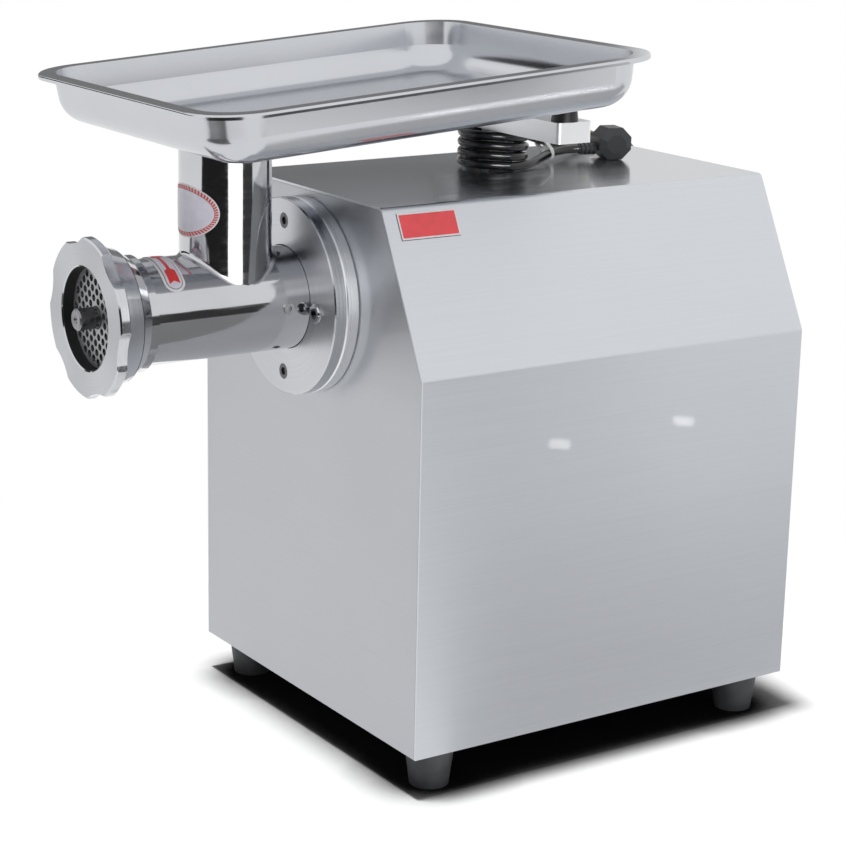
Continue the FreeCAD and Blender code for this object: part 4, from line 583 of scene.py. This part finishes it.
def film(name, outline, wrap, layer, finish, body, strips=FINE_STRIPS):
    """A film with a flat outline, laid on a surface by a wrap function."""
    mesh = flat_film(outline, strips)
    for vert in mesh.verts:
        vert.co = wrap(vert.co.x, vert.co.y, LAYERS[layer] + vert.co.z)
    bmesh.ops.recalc_face_normals(mesh, faces=mesh.faces[:])
    data = bpy.data.meshes.new(name)
    mesh.to_mesh(data)
    mesh.free()
    data.materials.append(finish)
    piece = bpy.data.objects.new(name, data)
    bpy.context.collection.objects.link(piece)
    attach(piece, body)


def on_throat(u, v, lift):
    """A place on the throat: u runs round it from its front, v runs up."""
    around = -math.pi / 2 + u / THROAT_RADIUS
    reach = THROAT_RADIUS + lift
    return Vector((reach * math.cos(around), THROAT_Y + reach * math.sin(around), OVAL_HIGH + v))


def on_barrel(u, v, lift):
    """A place on the barrel: u runs round it, down towards the right, v runs back."""
    around = ARROW_TURN - u / BARREL_RADIUS
    reach = BARREL_RADIUS + lift
    return Vector((reach * math.cos(around), ARROW_BACK + v, AXIS_HIGH + reach * math.sin(around)))


def on_shoulder(u, v, lift):
    """A place on the right shoulder: u runs back from the front, v runs down from the ridge."""
    down = (SHOULDER_FOOT - SHOULDER_TOP).normalized()
    out = Vector((-down.z, 0.0, down.x))
    return SHOULDER_TOP + down * v + out * lift + Vector((0.0, FRONT + u, 0.0))


def oval(inset):
    """The oval label's outline, drawn in by an inset."""
    turns = [2 * math.pi * index / OVAL_POINTS for index in range(OVAL_POINTS)]
    return [((OVAL_WIDE - inset) * math.cos(turn), (OVAL_TALL - inset) * math.sin(turn)) for turn in turns]


def stadium(inset):
    """The arrow label's long outline with round ends, drawn in by an inset."""
    radius = ARROW_WIDE - inset
    straight = ARROW_LONG - inset - radius
    points = []
    for end, start in ((1, -90.0), (-1, 90.0)):
        for index in range(ARROW_END_STEPS + 1):
            turn = math.radians(start + 180.0 * index / ARROW_END_STEPS)
            points.append((end * straight + radius * math.cos(turn), radius * math.sin(turn)))
    return points


def rectangle(left, right, top, bottom):
    """A rectangle as points."""
    return [(left, top), (right, top), (right, bottom), (left, bottom)]


def hatch(index):
    """One slanted stroke of the oval label's border."""
    turn = 2 * math.pi * index / HATCHES
    lean = turn + HATCH_LEAN
    ends = [(HATCH_OUTER_INSET, lean), (HATCH_OUTER_INSET, lean + HATCH_WIDTH),
            (HATCH_INNER_INSET, turn + HATCH_WIDTH), (HATCH_INNER_INSET, turn)]
    return [((OVAL_WIDE - inset) * math.cos(at), (OVAL_TALL - inset) * math.sin(at)) for inset, at in ends]


def oval_label(film_white, film_tint, film_red):
    """A plain oval label on the throat, with a hatched red border and nothing printed inside it."""
    film("oval_film", oval(0.0), on_throat, 0, film_white, "head")
    film("oval_line", oval(OVAL_LINE_INSET), on_throat, 1, film_red, "head")
    film("oval_field", oval(OVAL_FIELD_INSET), on_throat, 2, film_tint, "head")
    for index in range(HATCHES):
        film(f"oval_hatch_{index}", hatch(index), on_throat, 1, film_red, "head")


def arrow_label(film_white, film_tint, film_line, film_red):
    """A label on the barrel with an arrow that shows which way the ring nut turns."""
    film("arrow_film", stadium(0.0), on_barrel, 0, film_white, "head")
    film("arrow_line", stadium(ARROW_LINE_INSET), on_barrel, 1, film_line, "head")
    film("arrow_field", stadium(ARROW_FIELD_INSET), on_barrel, 2, film_tint, "head")
    other_side = [(u, -v) for u, v in ARROW_SIDE]
    arrow = [ARROW_SIDE[0], ARROW_NOTCH] + other_side + [ARROW_TIP] + ARROW_SIDE[:0:-1]
    film("arrow_mark", arrow, on_barrel, 3, film_red, "head")


def shoulder_label(film_white, film_line, film_red):
    """A blank red label on the right shoulder, with a pale border and a painted shadow, a dark line, at its
    edge.
    """
    # The dark film that peeks out past the label's left and bottom edges is a painted shadow
    back = rectangle(LABEL_LEFT - LABEL_PAINTED_SHADOW, LABEL_RIGHT, LABEL_TOP, LABEL_BOTTOM + LABEL_PAINTED_SHADOW)
    whole = rectangle(LABEL_LEFT, LABEL_RIGHT, LABEL_TOP, LABEL_BOTTOM)
    field = rectangle(LABEL_LEFT + LABEL_BORDER, LABEL_RIGHT - LABEL_BORDER,
                      LABEL_TOP + LABEL_BORDER, LABEL_BOTTOM - LABEL_BORDER)
    film("shoulder_label_painted_shadow", back, on_shoulder, 0, film_line, "housing", WIDE_STRIPS)
    film("shoulder_label_film", whole, on_shoulder, 1, film_white, "housing", WIDE_STRIPS)
    film("shoulder_label_field", field, on_shoulder, 2, film_red, "housing", WIDE_STRIPS)


def labels():
    """The labels and their printed films."""
    film_white = printed("film_white", (0.78, 0.76, 0.78))
    film_tint = printed("film_tint", (0.7, 0.69, 0.78))
    film_line = printed("film_line", (0.08, 0.06, 0.08))
    film_red = printed("film_red", (0.72, 0.03, 0.03))
    film_label = printed("film_label_red", (0.8, 0.07, 0.08))
    film_hatch = printed("film_hatch_red", (0.55, 0.1, 0.1))
    oval_label(film_white, film_tint, film_hatch)
    arrow_label(film_white, film_tint, film_line, film_red)
    shoulder_label(film_white, film_line, film_label)


# Camera
VIEW_AROUND = math.radians(56.18)
VIEW_UP = math.radians(15.12)
VIEW_ROLL = math.radians(1.2)
VIEW_FAR = 1.591
VIEW_TARGET = Vector((-0.0005, 0.0934 + FRONT, 0.2058))
VIEW_LENS = 98.5
VIEW_SENSOR = 36.0
VIEW_END = 50.0


def camera():
    """The camera at the photograph's angle."""
    data = bpy.data.cameras.new("view")
    data.lens = VIEW_LENS
    data.sensor_width = VIEW_SENSOR
    data.clip_end = VIEW_END
    view = bpy.data.objects.new("view", data)
    bpy.context.collection.objects.link(view)
    level = math.cos(VIEW_UP)
    out = Vector((math.sin(VIEW_AROUND) * level, -math.cos(VIEW_AROUND) * level, math.sin(VIEW_UP)))
    turn = (Matrix.Rotation(VIEW_AROUND, 4, "Z") @ Matrix.Rotation(math.pi / 2 - VIEW_UP, 4, "X")
            @ Matrix.Rotation(VIEW_ROLL, 4, "Z"))
    view.matrix_world = Matrix.Translation(VIEW_TARGET + out * VIEW_FAR) @ turn
    bpy.context.scene.camera = view


# Studio
ROOM_LIGHT = 0.16
FLOOR_LIGHT = 3.0
FLOOR_LAMP_ANGLE = math.radians(5.0)
FLOOR_LAMP_TURN = (math.radians(4.2), math.radians(-1.6), 0.0)
FLOOR_HALF = 6.0
# Floor colour in its painted contact shadow, and in the open
FLOOR_PAINTED_SHADOW = (0.02, 0.02, 0.02)
FLOOR_PALE = (0.92, 0.92, 0.92)
CONTACT_REACH = 0.05
CONTACT_DARK = 0.55
CONTACT_PALE = 0.85
WHITE_START = 0.35
WHITE_END = 0.6
SHEET_HIGH = 0.004

# Each lamp's place, the point it faces, its width, its height and its power
TOP_BOX = ((0.1, -0.1, 2.2), (0.0, 0.0, 0.2), 3.4, 3.4, 36.0)
RIGHT_BOX = ((1.15, -0.2, 0.4), (0.0, -0.1, 0.35), 0.7, 0.9, 4.0)
CORD_GLINT = ((1.12, -0.06, 0.7), (-0.02, 0.16, 0.39), 1.4, 0.5, 26.0)
HEAD_FILL = ((0.55, 0.2, 0.01), (0.55, 0.2, 1.0), 1.7, 1.4, 2.2)

# Each standing card's place, the point it faces, its width, its height and its tone
FRONT_CARD = ((0.7, -1.07, 0.25), (0.08, -0.09, 0.25), 1.5, 0.6, 0.02)
BACK_CARD = ((1.35, 0.55, 0.2), (0.0, -0.1, 0.2), 0.75, 0.4, 0.05)
REAR_CARD = ((-1.95, 0.69, 1.1), (0.0, 0.0, 0.4), 1.7, 1.3, 0.23)
END_CARD = ((-1.3, -0.95, 0.8), (0.0, 0.1, 0.47), 1.6, 0.5, 0.03)

# Each floor sheet's corners and its tone
NEAR_SHEET = ([(0.16, -0.04), (0.55, 0.23), (0.55, 1.3), (0.16, 1.3)], 0.53)
FAR_SHEET = ([(0.55, 0.23), (1.05, 0.575), (1.05, 1.9), (0.55, 1.9)], 0.95)
FRONT_SHEET = ([(-0.4, -0.6), (1.4, -0.6), (1.4, 0.815), (0.16, -0.04), (0.15, -0.1), (-0.4, -0.1)], 1.0)
CORNER_SHEET = ([(0.24, -0.61), (0.36, -0.61), (0.5, -1.15), (-0.25, -1.2), (-0.5, -0.85)], 0.14)

# The small bright cards that the right side mirrors, and where it mirrors them
LAMP_SPOTS = ((0.689, 0.444), (0.697, 0.602))
LAMP_HIGH = 0.03
LAMP_SIZE = (0.019, 0.009)
LAMP_TONE = 17.0
MIRROR_AHEAD = 0.49
MIRROR_HIGH = 0.22


def group(name, objects):
    """A collection outside the scene, for what a lamp lights or what shades it."""
    members = bpy.data.collections.new(name)
    for member in objects:
        members.objects.link(member)
    return members


def all_but(name, objects):
    """A collection that stands for everything but the objects in it."""
    members = group(name, objects)
    for member in members.collection_objects:
        member.light_linking.link_state = "EXCLUDE"
    return members


def softbox(name, place, target, wide, tall, power, lit, mirrored=True):
    """A soft lamp that faces a point, lights one collection and isn't seen by the camera itself."""
    data = bpy.data.lights.new(name, "AREA")
    data.shape = "RECTANGLE"
    data.size = wide
    data.size_y = tall
    data.energy = power
    lamp = bpy.data.objects.new(name, data)
    bpy.context.collection.objects.link(lamp)
    lamp.location = place
    lamp.rotation_euler = (Vector(target) - Vector(place)).to_track_quat("-Z", "Y").to_euler()
    lamp.visible_camera = False
    lamp.visible_glossy = mirrored
    lamp.light_linking.receiver_collection = lit


def floor_lamp(ground):
    """Light from above for the floor alone, which the housing shades."""
    data = bpy.data.lights.new("floor_lamp", "SUN")
    data.energy = FLOOR_LIGHT
    data.angle = FLOOR_LAMP_ANGLE
    lamp = bpy.data.objects.new("floor_lamp", data)
    bpy.context.collection.objects.link(lamp)
    lamp.rotation_euler = FLOOR_LAMP_TURN
    lamp.light_linking.receiver_collection = group("floor_lit", [ground])
    shades = ["wrap_cover", "front_panel", "rear_panel", "base_plate"] + NODE_FINISHES["foot"]
    lamp.light_linking.blocker_collection = group("floor_shades", [NODES[name] for name in shades])


def sheet(name, corners, tone, seen_by=None):
    """A studio sheet of a steady tone that the metal reflects and the camera doesn't see."""
    material = bpy.data.materials.new(name)
    material.use_nodes = True
    shader = material.node_tree.nodes["Principled BSDF"]
    shader.inputs["Base Color"].default_value = grey(0.0)
    shader.inputs["Specular IOR Level"].default_value = 0.0
    shader.inputs["Emission Color"].default_value = grey(1.0)
    shader.inputs["Emission Strength"].default_value = tone
    mesh = bpy.data.meshes.new(name)
    mesh.from_pydata(corners, [], [tuple(range(len(corners)))])
    mesh.materials.append(material)
    piece = bpy.data.objects.new(name, mesh)
    bpy.context.collection.objects.link(piece)
    piece.visible_camera = False
    piece.visible_diffuse = False
    piece.visible_shadow = False
    piece.light_linking.receiver_collection = seen_by


def card(name, place, target, wide, tall, tone):
    """A sheet that stands and faces a point."""
    turn = (Vector(target) - Vector(place)).to_track_quat("Z", "Y")
    signs = rectangle(-0.5, 0.5, -0.5, 0.5)
    sheet(name, [Vector(place) + turn @ Vector((wide * x, tall * y, 0.0)) for x, y in signs], tone)


def floor_sheet(name, corners, tone, seen_by=None):
    """A sheet that lies just above the floor and looks black to what it isn't seen by."""
    sheet(name, [(x, y, SHEET_HIGH) for x, y in corners], tone, seen_by)


def seen_directly(tree):
    """One for what the camera sees, also in metal and through glass, and zero for what only gives light."""
    path = tree.nodes.new("ShaderNodeLightPath")
    seen = path.outputs["Is Camera Ray"]
    for name in ("Is Glossy Ray", "Is Transmission Ray"):
        both = tree.nodes.new("ShaderNodeMath")
        both.operation = "MAXIMUM"
        tree.links.new(seen, both.inputs[0])
        tree.links.new(path.outputs[name], both.inputs[1])
        seen = both.outputs["Value"]
    return seen


def floor_material():
    """A pale material with a painted contact shadow, dark where the object stands close, that turns to
    plain white away from it.
    """
    nodes = Nodes("floor_pale")
    nodes.set(Roughness=0.95, Specular_IOR_Level=0.0)
    open_sky = nodes.add("ShaderNodeAmbientOcclusion")
    open_sky.inputs["Distance"].default_value = CONTACT_REACH
    # Painted shadow: the floor's colour goes dark where the object stands close, which deepens the floor
    # lamp's real shadow
    painted_contact_shadow = nodes.ramp(open_sky.outputs["AO"], (CONTACT_DARK, FLOOR_PAINTED_SHADOW), (CONTACT_PALE, FLOOR_PALE))
    nodes.feed("Base Color", painted_contact_shadow)
    white = nodes.add("ShaderNodeEmission")
    white.inputs["Strength"].default_value = 1.0
    length = nodes.add("ShaderNodeVectorMath", operation="LENGTH")
    nodes.link(nodes.place((1.0, 1.0, 0.0)), length.inputs[0])
    away = nodes.spread(length.outputs["Value"], 0.0, 1.0, WHITE_START, WHITE_END)
    mix = nodes.add("ShaderNodeMixShader")
    nodes.link(nodes.math("MULTIPLY", away, seen_directly(nodes.tree)), mix.inputs["Fac"])
    nodes.link(nodes.shader.outputs["BSDF"], mix.inputs[1])
    nodes.link(white.outputs["Emission"], mix.inputs[2])
    output = next(node for node in nodes.tree.nodes if node.type == "OUTPUT_MATERIAL")
    nodes.link(mix.outputs["Shader"], output.inputs["Surface"])
    return nodes.material


def floor():
    """A plain pale floor, with a painted contact shadow around the object."""
    mesh = bpy.data.meshes.new("floor")
    corners = rectangle(-FLOOR_HALF, FLOOR_HALF, -FLOOR_HALF, FLOOR_HALF)
    mesh.from_pydata([(x, y, 0) for x, y in corners], [], [(0, 1, 2, 3)])
    mesh.materials.append(floor_material())
    piece = bpy.data.objects.new("floor", mesh)
    bpy.context.collection.objects.link(piece)
    return piece


def world():
    """A white room for what the camera and the metal see, and a softer grey as light."""
    room = bpy.data.worlds.new("room")
    room.use_nodes = True
    tree = room.node_tree
    back = tree.nodes["Background"]
    back.inputs["Color"].default_value = grey(1.0)
    level = tree.nodes.new("ShaderNodeMapRange")
    level.inputs["To Min"].default_value = ROOM_LIGHT
    level.inputs["To Max"].default_value = 1.0
    tree.links.new(seen_directly(tree), level.inputs["Value"])
    tree.links.new(level.outputs["Result"], back.inputs["Strength"])
    bpy.context.scene.world = room


def studio(cord):
    """The floor, the room, the lamps, the cards and the sheets."""
    ground = floor()
    world()
    floor_lamp(ground)
    lamp_lit = all_but("lamps_leave_out", [ground, NODES["tray"]])
    head = [NODES["head_body"], NODES["lock_screw"]]
    off_head = all_but("sheets_leave_out", head)
    softbox("top_box", *TOP_BOX, lamp_lit, mirrored=False)
    softbox("right_box", *RIGHT_BOX, lamp_lit)
    card("front_card", *FRONT_CARD)
    card("back_card", *BACK_CARD)
    floor_sheet("near_sheet", *NEAR_SHEET, off_head)
    floor_sheet("far_sheet", *FAR_SHEET, off_head)
    floor_sheet("front_sheet", *FRONT_SHEET, off_head)
    floor_sheet("corner_sheet", *CORNER_SHEET)
    softbox("cord_glint", *CORD_GLINT, group("glint_lights", [cord]))
    softbox("head_fill", *HEAD_FILL, group("fill_lights", head))
    card("rear_card", *REAR_CARD)
    card("end_card", *END_CARD)
    for index, (side, back) in enumerate(LAMP_SPOTS):
        mirror = (SIDE, back - MIRROR_AHEAD, MIRROR_HIGH)
        card(f"lamp_card_{index}", (side, back, LAMP_HIGH), mirror, *LAMP_SIZE, LAMP_TONE)
    bpy.context.scene.view_settings.view_transform = "Standard"


dress_nodes()
mains_line = mains_cord()
labels()
camera()
studio(mains_line)
